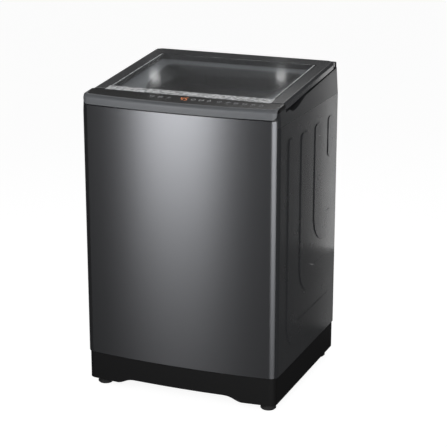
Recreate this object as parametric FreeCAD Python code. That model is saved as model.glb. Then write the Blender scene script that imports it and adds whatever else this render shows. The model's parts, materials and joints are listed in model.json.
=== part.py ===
import FreeCAD, Part
import math
import os

# Top load washing machine. Millimetres, +Z up, front towards -Y.
# The origin is on the floor, in the middle of the overall width and depth.

Vector = FreeCAD.Vector

# ---------------------------------------------------------------- driving dimensions
overall_width = 604.0  # over the raised ribs of the side panels
overall_depth = 572.0  # front of the bowed panel to the ends of the rear spigots
front_height = 890.0  # floor to the front edge of the top
top_rise = 50.0  # how much higher the rear edge of the top is
front_bow = 18.0  # how far the front panel bulges at its middle
rear_reach = 30.0  # how far the rear spigots stand out of the back panel
front_corner_radius = 24.0
rear_corner_radius = 14.0

# cabinet
sheet = 1.0
flange = 14.0
panel_gap = 1.5
seam_gap = 0.3
foot_gap = 25.0  # floor to the underside of the plinth
plinth_height = 85.0
plinth_inset = 3.0
plinth_wall = 3.5
arch_rise = 16.0
arch_shoulder = 90.0  # plinth corner to the place where the arch starts to rise
arch_run = 70.0  # length of the arch's curved shoulder
fascia_drop = 30.0  # top edge down to the front panel
seam_drop = 50.0  # top edge down to the side panels
front_return = 5.0  # front corner line to the front panel's side edges, on the corner bend

# raised ribs of the side panels
rib_height = 2.0
rib_taper = 3.5  # width of a rib's sloping flank
rib_top_drop = 52.0  # side panel top down to the ribs
rib_front_margin = 73.5  # front panel's side edge to the first rib
rib_rear_margin = 58.0  # back panel to the ends of the ribs
# each rib: front and rear as shares of the pressed length, then the bottom and top of
# its rearward run as shares of the pressed height
ribs = [
    (0.0, 0.117, 0.069, 0.181, 8.0),
    (0.27, 0.456, 0.268, 0.375, 0.0),
    (0.58, 0.741, 0.451, 0.575, 0.0),
]
pad_front = 0.886  # front of the short pad, as a share of the pressed length
pad_height = 128.0

# top frame, control panel and lid
frame_wall = 3.0
frame_lean = 7.0  # how far the frame's sides lean in at their top
fascia_thickness = 3.0
fascia_corner = 14.0
fascia_margin = 7.0
cap_height = 10.0
cap_wall = 3.5
cap_edge = 7.0
band_depth = 14.0  # how far the band rolls back over the top
band_gap = 3.0  # front panel's top edge to the band
band_roll = 12.5
board_half = 170.0
board_level = 5.4  # top surface to the board's underside
display_half = 27.0
tray_half = 149.0
tray_wall = 2.5
tray_depth = 40.0  # top surface to the tray's underside
panel_length = 62.0  # front corner line to the lid
lid_gap = 3.0
lid_thickness = 20.0
lid_skin = 3.0
lid_edge = 8.0
lid_side_inset = 7.5
lid_rear_inset = 16.0
lid_rear_corner = 24.0
window_side = 51.0  # cabinet side to the window
window_rear = 76.0  # back panel to the window
trim_width = 35.0
trim_height = 3.0
side_trim_width = 3.5
glass_thickness = 4.0
glass_rebate = 4.0
hinge_pin_radius = 4.0
hinge_pin_back = 9.0  # lid rear edge to the hinge axis
hinge_pin_drop = 11.0  # top surface to the hinge axis
hinge_bracket_width = 13.0
shaft_clearance = 0.05

# wash mouth and its funnel
rim_side = 44.0
rim_rear = 68.0
mouth_width = 344.0
mouth_margin = 19.0  # lid's bright bar to the mouth's front edge
mouth_radius = 34.0
mouth_drop = 18.0  # top's front edge down to the mouth's rim
collar_height = 52.0
funnel_wall = 2.5
grip_depth = 13.0
grip_reach = 15.0

# back of the cabinet
service_half = 165.0  # half the width of the service cover
service_low = 235.0
service_high = 560.0
drain_radius = 15.0
gland_radius = 9.0
gland_x = -235.0
gland_z = 740.0
inlet_radius = 13.2
inlet_x = 185.0
inlet_drop = 30.0  # top's front edge down to the inlet's axis

# detergent drawer
drawer_width = 200.0
drawer_left = -100.0
drawer_depth = 55.0
drawer_height = 34.0
drawer_drop = 34.0  # wash mouth's rim down to the drawer's floor
drawer_wall = 2.2
housing_wall = 2.5
drawer_gap = 0.8
housing_rear = 3.0  # drawer's rear to the housing's rear wall
housing_margin = 3.0  # housing to the back panel's fold

# tub, basket and drive
tub_offset = -8.0  # tub axis from the middle of the cabinet
tub_radius = 236.0
tub_wall = 3.0
tub_bottom = 245.0
tub_rib_depth = 23.0  # ribs under the tub's bottom
tub_hub_radius = 34.0
cover_inner_radius = 204.0
cover_rise = 26.0  # tub's rim to the cover's top
cover_lip = 14.0  # how far the cover reaches down over the tub's rim
cover_travel = 21.0  # tub's cover up to the mouth's collar
basket_gap = 14.0  # tub wall to the basket
basket_sheet = 0.8
basket_bottom = 292.0
basket_drop = 31.0  # tub's rim down to the drum's rim
balance_height = 44.0
balance_width = 34.0
hub_radius = 120.0
spin_tube_radius = 12.5
drive_shaft_radius = 8.0
neck_radius = 26.0
dish_margin = 50.0  # basket wall to the pulsator's edge
pulsator_vanes = 6
vane_width = 34.0
vane_crest = 12.0  # width of a vane's flat top
vane_height = 16.0
vane_start = 48.0  # axis to the vane's inner end
vane_margin = 24.0  # pulsator's edge to the vane's outer end
vane_bend = 105.0
pulley_radius = 70.0
motor_pulley_radius = 25.0
belt_thickness = 6.0
belt_height = 12.0
belt_clearance = 0.35
pulley_bottom = 126.0
motor_distance = 150.0
motor_radius = 56.0
motor_height = 62.0
motor_shaft_radius = 6.0
motor_ear = 66.0  # motor's axis to its mounting bolts
motor_drop = 8.0  # bracket plate to the motor's ears
bracket_plate = 3.0

capacitor_radius = 20.0
capacitor_height = 78.0
capacitor_x = 225.0
capacitor_z = 150.0

# lint filters
filter_low = 430.0
filter_high = 640.0
filter_half = 45.0
filter_depth = 12.0
filter_slot = 9.0
filter_pitch = 22.0

# drain, level sensor and their hoses
valve_x = -118.0
valve_y = 98.0
valve_reach = 60.0  # valve's axis to its pulling motor
valve_drop = 27.0  # tub's ribs to the middle of the drain's outlet
spigot_tail = 22.0  # how far the drain spigot reaches inside the back panel
spigot_flange = 2.5
barb_radius = 14.5
hose_cuff = 14.0
trap_angle = 20.0
sensor_drop = 24.0  # top's front edge down to the sensor's axis
sensor_nipple = 40.0  # cabinet side to the tip of the sensor's nipple

# suspension
rod_radius = 4.0
rod_head = 9.0
rod_corner_x = 57.0  # cabinet side to a rod
rod_corner_y = 42.0  # front corner line or back panel to a rod
rod_drop = 14.0  # side panel's top edge down to the rods' heads
seat_height = 14.0
seat_sink = 5.0  # rod head's middle down to its seat's rim
bracket_fold = 9.0
rod_bottom = 244.0
cup_radius = 20.5
cup_wall = 2.5
cup_height = 62.0
lug_bottom = 330.0
lug_height = 20.0
spring_wire = 3.0
spring_turns = 5

# feet
foot_radius = 23.0
foot_pad_height = 13.0
foot_stem_radius = 5.0
foot_stem_length = 60.0
foot_corner = 38.0  # cabinet side to a foot's axis
foot_line = 42.0  # front corner line or back panel to a foot's axis
foot_travel = 15.0

# ---------------------------------------------------------------- derived places
apex_y = -overall_depth / 2
corner_y = apex_y + front_bow
back_y = overall_depth / 2 - rear_reach
middle_y = (corner_y + back_y) / 2
half_width = overall_width / 2 - rib_height
bow_radius = (half_width ** 2 + front_bow ** 2) / (2 * front_bow)
bow_centre_y = apex_y + bow_radius
plinth_top = foot_gap + plinth_height
front_panel_top = front_height - fascia_drop
side_panel_top = front_height - seam_drop
slope_angle = math.degrees(math.atan2(top_rise, back_y - corner_y))
slope_length = math.hypot(top_rise, back_y - corner_y)
rear_height = front_height + top_rise
return_y = corner_y + front_return
tub_y = middle_y + tub_offset
basket_radius = tub_radius - basket_gap
pulsator_radius = basket_radius - dish_margin
lid_front_y = corner_y + panel_length
lid_rear_y = corner_y + slope_length - lid_rear_inset
deck_level = -(lid_thickness + lid_gap)
hinge_y = lid_rear_y - hinge_pin_back
rod_top = side_panel_top - rod_drop
bracket_level = rod_top - seat_sink - seat_height
drawer_y = back_y - flange - housing_margin - housing_wall - housing_rear - drawer_depth
mouth_front = lid_front_y + trim_width + mouth_margin
mouth_rear = drawer_y - funnel_wall
mouth_height = front_height - mouth_drop
drawer_z = mouth_height - drawer_drop
tub_rim = mouth_height - collar_height - cover_travel - cover_rise
tub_height = tub_rim - tub_bottom
basket_height = tub_rim - basket_drop - basket_bottom
inlet_z = front_height - inlet_drop
sensor_z = front_height - sensor_drop
tub_foot = tub_bottom - tub_rib_depth
motor_y = tub_y + motor_distance
motor_top = tub_foot - bracket_plate - motor_drop
drain_x = valve_x
drain_z = tub_foot - valve_drop
sensor_nipple_x = half_width - sensor_nipple


# ---------------------------------------------------------------- small tools
def box(x0, x1, y0, y1, z0, z1):
    return Part.makeBox(x1 - x0, y1 - y0, z1 - z0, Vector(x0, y0, z0))


def disc(radius, z0, z1, x=0.0, y=0.0):
    return Part.makeCylinder(radius, z1 - z0, Vector(x, y, z0))


def ring(outer, inner, z0, z1, x=0.0, y=0.0):
    return disc(outer, z0, z1, x, y).cut(disc(inner, z0 - 1, z1 + 1, x, y))


def bar(radius, start, end):
    """A round bar between two points."""
    run = end - start
    return Part.makeCylinder(radius, run.Length, start, run)


def revolved(points, x=0.0, y=0.0):
    """A solid turned about the vertical axis from a closed (radius, height) profile."""
    corners = [Vector(r, 0, z) for r, z in points]
    face = Part.Face(Part.makePolygon(corners + corners[:1]))
    solid = face.revolve(Vector(0, 0, 0), Vector(0, 0, 1), 360)
    solid.translate(Vector(x, y, 0))
    return solid


def rounded_wire(corners, z=0.0):
    """A closed wire through (x, y, radius) corners, each rounded by its own radius."""
    count = len(corners)
    marks = []
    for i, (x, y, radius) in enumerate(corners):
        here = Vector(x, y, z)
        before = Vector(corners[i - 1][0], corners[i - 1][1], z) - here
        after = Vector(corners[(i + 1) % count][0], corners[(i + 1) % count][1], z) - here
        half_angle = before.getAngle(after) / 2
        before.normalize()
        after.normalize()
        reach = radius / math.tan(half_angle)
        inward = (before + after).normalize()
        middle = here + inward * (radius / math.sin(half_angle) - radius)
        marks.append((here + before * reach, middle, here + after * reach))
    edges = []
    for i, (start, middle, end) in enumerate(marks):
        if start.distanceToPoint(end) > 1e-6:
            edges.append(Part.Arc(start, middle, end).toShape())
        following = marks[(i + 1) % count][0]
        if end.distanceToPoint(following) > 1e-6:
            edges.append(Part.makeLine(end, following))
    return Part.Wire(edges)


def rounded_rectangle(x0, x1, y0, y1, radius, z=0.0):
    corners = [(x0, y0, radius), (x1, y0, radius), (x1, y1, radius), (x0, y1, radius)]
    return rounded_wire(corners, z)


def prism(wire, height):
    return Part.Face(wire).extrude(Vector(0, 0, height))


def rounded_block(x0, x1, y0, y1, z0, z1, radius):
    return prism(rounded_rectangle(x0, x1, y0, y1, radius, z0), z1 - z0)


def joined(first, *others):
    return first.fuse(list(others)).removeSplitter()


def mirrored(shape):
    """The same shape on the other side of the machine."""
    return shape.mirror(Vector(0, 0, 0), Vector(1, 0, 0))


def on_slope(shape):
    """Carry a shape drawn level, with the top surface at z = 0, to the sloping top."""
    moved = shape.copy()
    moved.rotate(Vector(0, corner_y, 0), Vector(1, 0, 0), slope_angle)
    moved.translate(Vector(0, 0, front_height))
    return moved


def above_slope(level, y0=-1000.0, y1=1000.0):
    """Everything above a level of the sloping top, between two places along it."""
    return on_slope(box(-1000, 1000, y0, y1, level, 500))


def cabinet_outline(side, front, rear, z):
    """The cabinet's outline seen from above, drawn in by the given amounts."""
    half = half_width - side
    bow = bow_radius - front
    front_radius = max(front_corner_radius - (side + front) / 2, 2.0)
    rear_radius = max(rear_corner_radius - (side + rear) / 2, 2.0)
    centre_x = half - front_radius
    centre_y = bow_centre_y - math.sqrt((bow - front_radius) ** 2 - centre_x ** 2)
    bow_centre = Vector(0, bow_centre_y, z)
    corner = Vector(centre_x, centre_y, z)
    outward = (corner - bow_centre).normalize()
    on_bow = bow_centre + outward * bow
    between = (outward + Vector(1, 0, 0)).normalize()
    on_corner = corner + between * front_radius
    rear_line = back_y - rear
    slant = rear_radius * (1 - math.sqrt(0.5))

    def other(point):
        return Vector(-point.x, point.y, point.z)

    side_start = Vector(half, centre_y, z)
    side_end = Vector(half, rear_line - rear_radius, z)
    rear_middle = Vector(half - slant, rear_line - slant, z)
    rear_start = Vector(half - rear_radius, rear_line, z)
    edges = [
        Part.Arc(other(on_bow), Vector(0, bow_centre_y - bow, z), on_bow).toShape(),
        Part.Arc(on_bow, on_corner, side_start).toShape(),
        Part.makeLine(side_start, side_end),
        Part.Arc(side_end, rear_middle, rear_start).toShape(),
        Part.makeLine(rear_start, other(rear_start)),
        Part.Arc(other(rear_start), other(rear_middle), other(side_end)).toShape(),
        Part.makeLine(other(side_end), other(side_start)),
        Part.Arc(other(side_start), other(on_corner), other(on_bow)).toShape(),
    ]
    return Part.Wire(edges)


def cabinet_prism(inset, z0, z1):
    return prism(cabinet_outline(inset, inset, inset, z0), z1 - z0)


def cabinet_ring(outer, inner, z0, z1):
    return cabinet_prism(outer, z0, z1).cut(cabinet_prism(inner, z0 - 1, z1 + 1))


def save(name, *solids):
    shape = solids[0] if len(solids) == 1 else Part.makeCompound(list(solids))
    shape.exportStep("parts/" + name + ".step")


# ---------------------------------------------------------------- cabinet
def panel_shell(z0, z1):
    """The cabinet's sheet with inward flanges at its top and bottom."""
    wall = cabinet_ring(0, sheet, z0, z1)
    lower = cabinet_ring(0, flange, z0, z0 + sheet)
    upper = cabinet_ring(0, flange, z1 - sheet, z1)
    return joined(wall, lower, upper)


def front_panel():
    shell = panel_shell(plinth_top, front_panel_top)
    return shell.common(box(-400, 400, apex_y - 5, return_y, 0, 1000))


def rib_wire(front, rear, top, run, run_width, inset, x):
    """Outline of a J-shaped rib: down the panel, then round towards the rear."""
    end = back_y - rib_rear_margin
    outer = 0.9 * (run_width + rear - front) / 2
    y0, y1, y2 = front + inset, rear - inset, end - inset
    z0, z1, z2 = run + inset, run + run_width - inset, top - inset
    corner = min(18.0, (rear - front) / 3) - inset / 2
    points = [
        (y0, z2, corner),
        (y0, z0, outer + 30 - inset),
        (y2, z0, corner),
        (y2, z1, corner),
        (y1, z1, outer - 10 + inset),
        (y1, z2, corner),
    ]
    return on_side(rounded_wire(points), x)


def on_side(wire, x):
    """Stand a wire drawn flat (y, height) up against the right side."""
    wire.rotate(Vector(0, 0, 0), Vector(1, 1, 1), 120)
    wire.translate(Vector(x, 0, 0))
    return wire


def pressed(wire, x, rise):
    """The raised form of a rib whose outline at an inset and a place x is wire(inset, x)."""
    return Part.makeLoft([wire(0, x), wire(rib_taper, x + rise)], True, True)


def rib_outlines():
    """A function for each rib, and for the short pad behind them, that draws its outline."""
    top = side_panel_top - rib_top_drop
    start = return_y + panel_gap + rib_front_margin
    end = back_y - rib_rear_margin
    length = end - start
    height = top - plinth_top
    outlines = []
    for front, rear, low, high, extra in ribs:
        sizes = (start + front * length, start + rear * length, top + extra,
                 plinth_top + low * height, (high - low) * height)

        def outline(inset, x, sizes=sizes):
            return rib_wire(*sizes, inset, x)
        outlines.append(outline)

    def pad(inset, x):
        wire = rounded_rectangle(start + pad_front * length + inset, end - inset,
                                 top - pad_height + inset, top - inset, 14.0)
        return on_side(wire, x)
    outlines.append(pad)
    return outlines


def side_panel():
    """The right side panel, bent round half of the front corner, with its raised ribs."""
    edge = return_y + panel_gap
    shell = panel_shell(plinth_top, side_panel_top)
    panel = shell.common(box(half_width - flange, 400, edge, back_y + 5, 0, 1000))
    front_flange = box(half_width - flange, half_width, edge, edge + sheet,
                       plinth_top, side_panel_top)
    front_flange = front_flange.common(cabinet_prism(0, plinth_top, side_panel_top))
    panel = joined(panel, front_flange)
    for outline in rib_outlines():
        raised = pressed(outline, half_width - sheet, rib_height + sheet)
        hollow = pressed(outline, half_width - 2 * sheet, rib_height + sheet)
        panel = panel.fuse(raised).cut(hollow)
    return panel


def back_panel():
    """Flat sheet between the side panels' rear flanges, with a service opening."""
    half = half_width - flange - 0.5
    panel = box(-half, half, back_y - sheet, back_y, plinth_top, side_panel_top)
    fold = box(-half, half, back_y - flange, back_y, plinth_top, plinth_top + sheet)
    upper_fold = box(-half, half, back_y - flange, back_y, side_panel_top - sheet, side_panel_top)
    panel = joined(panel, fold, upper_fold)
    opening = rounded_block(-service_half + 15, service_half - 15, service_low + 15,
                            service_high - 15, -5, 5, 20)
    panel = panel.cut(to_back(opening))
    panel = panel.cut(bar(drain_radius + 0.5, Vector(drain_x, back_y - 5, drain_z),
                          Vector(drain_x, back_y + 5, drain_z)))
    panel = panel.cut(bar(gland_radius, Vector(gland_x, back_y - 5, gland_z),
                          Vector(gland_x, back_y + 5, gland_z)))
    for z in (600.0, 680.0, 760.0):
        bead = rounded_block(-220, 120, z - 8, z + 8, 0, 2.5, 7.9)
        hollow = rounded_block(-219, 119, z - 7, z + 7, -1, 1.5, 6.9)
        panel = panel.fuse(to_back(bead, sheet)).cut(to_back(hollow, sheet))
    return panel


def to_back(shape, depth=0.0):
    """Stand a shape drawn flat (x, height) up against the back panel's outer face."""
    moved = shape.copy()
    moved.rotate(Vector(0, 0, 0), Vector(1, 0, 0), 90)
    moved = moved.mirror(Vector(0, 0, 0), Vector(0, 1, 0))
    moved.translate(Vector(0, back_y - depth, 0))
    return moved


def service_cover():
    cover = to_back(rounded_block(-service_half, service_half, service_low, service_high,
                                  0, 1.2, 25))
    for z in range(5):
        height = service_low + 90 + z * 24
        slot = rounded_block(-90, 90, height - 3, height + 3, -5, 5, 2.9)
        cover = cover.cut(to_back(slot))
    return cover


def base_plinth():
    """Hollow plastic base with an arched front and a boss for each foot."""
    shell = cabinet_ring(plinth_inset, plinth_inset + plinth_wall, foot_gap, plinth_top)
    ledge = cabinet_ring(plinth_inset, flange + 8, plinth_top - 4, plinth_top)
    base = joined(shell, ledge)
    for x, y in foot_places():
        boss = disc(17, foot_gap, plinth_top - 4, x, y)
        out_x = x + math.copysign(60, x)
        out_y = y + math.copysign(60, y - middle_y)
        across = box(min(x, out_x), max(x, out_x), y - 3, y + 3, foot_gap, plinth_top - 4)
        along = box(x - 3, x + 3, min(y, out_y), max(y, out_y), foot_gap, plinth_top - 4)
        webs = joined(across, along).common(cabinet_prism(plinth_inset + 1, foot_gap, plinth_top))
        base = base.fuse([boss, webs])
    base = base.removeSplitter()
    base = base.cut(arch_cutter())
    for x, y in foot_places():
        base = base.cut(disc(foot_stem_radius + shaft_clearance, 0, plinth_top + 1, x, y))
    return base


def arch_cutter():
    """Cuts the arch out of the plinth's front lower edge."""
    low = foot_gap - 1
    high = foot_gap + arch_rise
    x0 = half_width - arch_shoulder
    x1 = x0 - arch_run
    rise = Part.BezierCurve()
    rise.setPoles([Vector(-x0, 0, low), Vector(-x0 + arch_run / 2, 0, low),
                   Vector(-x1 - arch_run / 2, 0, high), Vector(-x1, 0, high)])
    fall = Part.BezierCurve()
    fall.setPoles([Vector(x1, 0, high), Vector(x1 + arch_run / 2, 0, high),
                   Vector(x0 - arch_run / 2, 0, low), Vector(x0, 0, low)])
    edges = [
        rise.toShape(),
        Part.makeLine(Vector(-x1, 0, high), Vector(x1, 0, high)),
        fall.toShape(),
        Part.makeLine(Vector(x0, 0, low), Vector(-x0, 0, low)),
    ]
    face = Part.Face(Part.Wire(edges))
    face.translate(Vector(0, apex_y - 10, 0))
    return face.extrude(Vector(0, front_bow + flange + 20, 0))


def foot_places():
    x = half_width - foot_corner
    front = corner_y + foot_line
    rear = back_y - foot_line
    return [(-x, front), (x, front), (-x, rear), (x, rear)]


def foot(x, y):
    """Rubber-shod levelling foot: pad, hexagonal neck and threaded stem."""
    pad = revolved([(0, 0), (foot_radius - 3, 0), (foot_radius, 3), (foot_radius, 6),
                    (foot_radius - 6, foot_pad_height), (0, foot_pad_height)], x, y)
    neck = disc(11, foot_pad_height, foot_gap - 0.3, x, y)
    stem = disc(foot_stem_radius, foot_pad_height, foot_gap + foot_stem_length, x, y)
    return joined(pad, neck, stem)


def rod_places():
    x = half_width - rod_corner_x
    front = corner_y + rod_corner_y
    rear = back_y - rod_corner_y
    return [(-x, front), (x, front), (-x, rear), (x, rear)]


def corner_bracket(x, y):
    """Folded steel gusset in a top corner of the cabinet; a suspension rod hangs in it."""
    low = bracket_level - bracket_fold
    inside = cabinet_prism(sheet, low, bracket_level)
    x0, x1 = (x - 40, half_width) if x > 0 else (-half_width, x + 40)
    y0, y1 = (y - 60, y + 42) if y < middle_y else (y - 42, y + 60)
    corner = box(x0, x1, y0, y1, low, bracket_level)
    bracket = inside.common(corner)
    hollow = cabinet_prism(sheet + 2, low - 5, bracket_level - 2)
    bracket = bracket.cut(hollow)
    bracket = bracket.cut(disc(tub_radius + 30, 0, 1000, 0, tub_y))
    for side in (-1, 1):
        edge = side * (half_width - flange - 0.3)
        notch = box(min(edge, side * 400), max(edge, side * 400), return_y - 0.3,
                    return_y + panel_gap + sheet + 0.3, 0, 1000)
        bracket = bracket.cut(notch)
    return bracket.cut(disc(rod_radius + 2.5, 0, 1000, x, y))


def rod_seat(x, y):
    """Moulded ball cup between a rod's head and its bracket."""
    top = bracket_level + seat_height
    body = revolved([(0, bracket_level), (18, bracket_level), (16, top - 4), (13, top), (0, top)],
                    x, y)
    body = body.cut(Part.makeSphere(rod_head + shaft_clearance, Vector(x, y, rod_top)))
    return body.cut(disc(rod_radius + 1.5, 0, 1000, x, y))


def suspension_rod(x, y):
    """Steel rod with a half-round head that rests in its seat and a spring plate below."""
    head = Part.makeSphere(rod_head, Vector(x, y, rod_top), Vector(0, 0, 1), -90, 0)
    neck = disc(rod_radius, rod_bottom, rod_top, x, y)
    plate = disc(cup_radius - cup_wall - 1.5, rod_bottom + 6, rod_bottom + 9, x, y)
    nut = disc(7.5, rod_bottom, rod_bottom + 6, x, y)
    return joined(neck, head, plate, nut)


# ---------------------------------------------------------------- top frame and controls
def frame_block(inset):
    """The top frame's solid outer form; its sides lean in towards the top."""
    low = side_panel_top + seam_gap
    high = rear_height + 20
    lean = frame_lean * (high - low) / (rear_height - low)
    lower = cabinet_outline(inset, inset, inset, low)
    upper = cabinet_outline(inset + lean, inset, inset + lean / 2, high)
    return Part.makeLoft([lower, upper], True, True)


def fascia_window(margin):
    """Front view of the fascia, as a bar through the frame's front."""
    half = half_width - fascia_margin + margin
    low = front_panel_top + band_gap - margin
    wire = rounded_rectangle(-half, half, low, low + 120, fascia_corner)
    wire.rotate(Vector(0, 0, 0), Vector(1, 0, 0), 90)
    face = Part.Face(wire)
    face.translate(Vector(0, apex_y - 10, 0))
    return face.extrude(Vector(0, 60, 0))


def rolled_front(inset):
    """The top's front as one solid, its upper edge rolled over."""
    low = front_panel_top - 5
    block = prism(cabinet_outline(inset, inset, inset, low), top_rise + 60)
    block = block.cut(above_slope(-inset))
    rolled = [edge for edge in block.Edges if edge.BoundBox.ZMin > front_height - inset - 5
              and edge.BoundBox.YMax < corner_y + front_corner_radius + 3]
    return block.makeFillet(band_roll - inset, rolled)


def fascia_skin(depth, margin):
    """The band's form: the rolled skin of the top's front, as far back as depth."""
    skin = rolled_front(0).cut(rolled_front(fascia_thickness))
    return skin.cut(cabinet_prism(depth, 0, 2000)).common(fascia_window(margin))


def front_fascia():
    """Bowed metal-look band across the front, rolled back over the edge of the top."""
    return fascia_skin(band_depth, 0)


def mouth_wire(grow, z):
    half = mouth_width / 2 + grow
    return rounded_rectangle(-half, half, mouth_front - grow, mouth_rear + grow,
                             mouth_radius + grow, z)


def rim_wire(grow):
    half = half_width - rim_side + grow
    front = lid_front_y + trim_width + 3 - grow
    wire = rounded_rectangle(-half, half, front, back_y - rim_rear + grow, 26 + grow)
    wire.translate(Vector(0, 0, deck_level))
    return on_slope(wire)


def funnel(grow, over):
    """The funnel's form, from the rim under the lid down to the mouth."""
    sloping = Part.makeLoft([rim_wire(grow), mouth_wire(grow, mouth_height)], True, True)
    collar = prism(mouth_wire(grow, mouth_height - collar_height - over),
                   collar_height + over)
    return sloping.fuse(collar)


def grip_scoop(x0, x1, grow):
    """Leaf-shaped finger recess under the lid's side edge."""
    y0 = lid_front_y + trim_width - 5 - grow
    y1 = middle_y - 24 + grow
    length = y1 - y0
    low = deck_level - grip_depth - grow
    top = deck_level + 1
    curve = Part.BSplineCurve()
    curve.interpolate([Vector(0, y0, deck_level), Vector(0, y0 + 0.2 * length, low + 1),
                       Vector(0, y0 + 0.5 * length, low + 2), Vector(0, y1, deck_level)])
    edges = [
        curve.toShape(),
        Part.makeLine(Vector(0, y1, deck_level), Vector(0, y1, top)),
        Part.makeLine(Vector(0, y1, top), Vector(0, y0, top)),
        Part.makeLine(Vector(0, y0, top), Vector(0, y0, deck_level)),
    ]
    face = Part.Face(Part.Wire(edges))
    face.translate(Vector(x0, 0, 0))
    return on_slope(face.extrude(Vector(x1 - x0, 0, 0)))


def top_frame():
    """Moulded top: skirt, deck under the lid, funnel, mouth and control housing."""
    outer = frame_block(0)
    skirt = outer.cut(frame_block(frame_wall))
    front_wall = frame_block(0).cut(frame_block(fascia_thickness + frame_wall))
    front_wall = front_wall.common(box(-400, 400, apex_y - 5, corner_y + 40, 0, 2000))
    deck = outer.common(on_slope(box(-400, 400, lid_front_y, 400, deck_level - 3, deck_level)))
    shelf = outer.common(on_slope(box(-400, 400, -400, lid_front_y,
                                      -cap_height - 3, -cap_height)))
    divider = outer.common(on_slope(box(-400, 400, lid_front_y - 3, lid_front_y,
                                        deck_level - 3, -cap_height)))
    frame = skirt.fuse([front_wall, deck, shelf, divider])
    frame = frame.fuse(funnel(funnel_wall, 0).common(outer))
    frame = frame.cut(funnel(0, 5))
    for side in (-1, 1):
        near = half_width - frame_lean - grip_reach
        far = half_width + 5
        wall = grip_scoop(min(side * (near - 3), side * far), max(side * (near - 3), side * far), 3)
        scoop = grip_scoop(min(side * near, side * far), max(side * near, side * far), 0)
        frame = frame.fuse(wall.common(outer)).cut(scoop)
    frame = frame.cut(above_slope(deck_level, lid_front_y))
    frame = frame.cut(above_slope(-cap_height, -400, lid_front_y + 1))
    low_front = box(-400, 400, apex_y - 5, return_y + panel_gap, 0, front_panel_top + panel_gap)
    frame = frame.cut(low_front.cut(frame_block(fascia_thickness + frame_wall)))
    frame = frame.cut(frame_block(-1).cut(frame_block(fascia_thickness)).common(
        fascia_window(band_gap - 1)))
    frame = frame.cut(fascia_skin(band_depth + 1, band_gap - 1))
    board_hole = on_slope(box(-tray_half - 1, tray_half + 1, corner_y + 6, lid_front_y - 22,
                              -cap_height - 10, -cap_height + 1))
    frame = frame.cut(board_hole)
    frame = frame.cut(dispenser_block(0.3, 40))
    inlet = bar(inlet_radius + 1.5, Vector(inlet_x, back_y - 30, inlet_z),
                Vector(inlet_x, back_y + 5, inlet_z))
    frame = frame.cut(inlet)
    return frame.removeSplitter()


def control_panel():
    """Printed glossy cap over the controls, rolled over at its front edge."""
    lean = frame_lean * (front_height - cap_height - side_panel_top) / (
        rear_height - side_panel_top)
    outline = cabinet_outline(lean, 0, 0, -cap_height)
    cap = prism(outline, cap_height)
    keep = box(-400, 400, -400, lid_front_y - panel_gap / 2, -50, 50)
    rounded = [edge for edge in cap.Edges
               if abs(edge.BoundBox.ZMin) < 1e-6 and edge.BoundBox.YMin < corner_y + 100]
    cap = cap.makeFillet(cap_edge, rounded).common(keep)
    front = band_depth + 1 + cap_wall
    inner = cabinet_outline(lean + cap_wall, front, cap_wall, -cap_height - 1)
    room = prism(inner, cap_height + 1 - cap_wall)
    room = room.common(box(-400, 400, -400, lid_front_y - panel_gap / 2 - cap_wall, -50, 50))
    band_room = box(-400, 400, apex_y - 5, corner_y + 40, 0, 2000)
    band_room = band_room.cut(cabinet_prism(band_depth + 0.3, 0, 2000))
    return on_slope(cap.cut(room)).cut(band_room.common(fascia_window(0.3)))


def control_board():
    """Circuit board under the panel."""
    board = box(-board_half, board_half, corner_y + 9, lid_front_y - 14,
                -board_level, -cap_wall - 0.3)
    return on_slope(board)


def display_module():
    return on_slope(box(-display_half, display_half, corner_y + 14, lid_front_y - 27,
                        -board_level - 4.2, -board_level))


def board_tray():
    """Plastic tray that carries the board and its power parts below the panel shelf."""
    front, rear = corner_y + 7, lid_front_y - 23
    outer = box(-tray_half, tray_half, front, rear, -tray_depth, -board_level)
    inner_half = tray_half - tray_wall
    room = box(-inner_half, inner_half, front + tray_wall, rear - tray_wall,
               tray_wall - tray_depth, 0)
    return on_slope(outer.cut(room))


# ---------------------------------------------------------------- lid
def lid_outline(inset, z):
    half = half_width - lid_side_inset - inset
    front = lid_front_y + panel_gap / 2 + inset
    rear = lid_rear_y - inset
    corners = [(-half, front, 3.0), (half, front, 3.0),
               (half, rear, lid_rear_corner - inset), (-half, rear, lid_rear_corner - inset)]
    return rounded_wire(corners, z)


def window_box(grow, z0, z1):
    half = half_width - window_side + grow
    front = lid_front_y + trim_width + glass_rebate + 0.2 - grow
    rear = back_y - window_rear + grow
    return rounded_block(-half, half, front, rear, z0, z1, 4.0 + grow)


def hinge_notch(side):
    """Room in the lid for one hinge bracket and the way it swings."""
    x0, x1 = hinge_span(side, 1.0)
    return box(x0, x1, hinge_y - 9, lid_rear_y + 5, -lid_thickness - 1, -lid_skin)


def hinge_span(side, grow):
    near = half_width - 38.0 - grow
    far = near + hinge_bracket_width + 2 * grow
    return (near, far) if side > 0 else (-far, -near)


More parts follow.
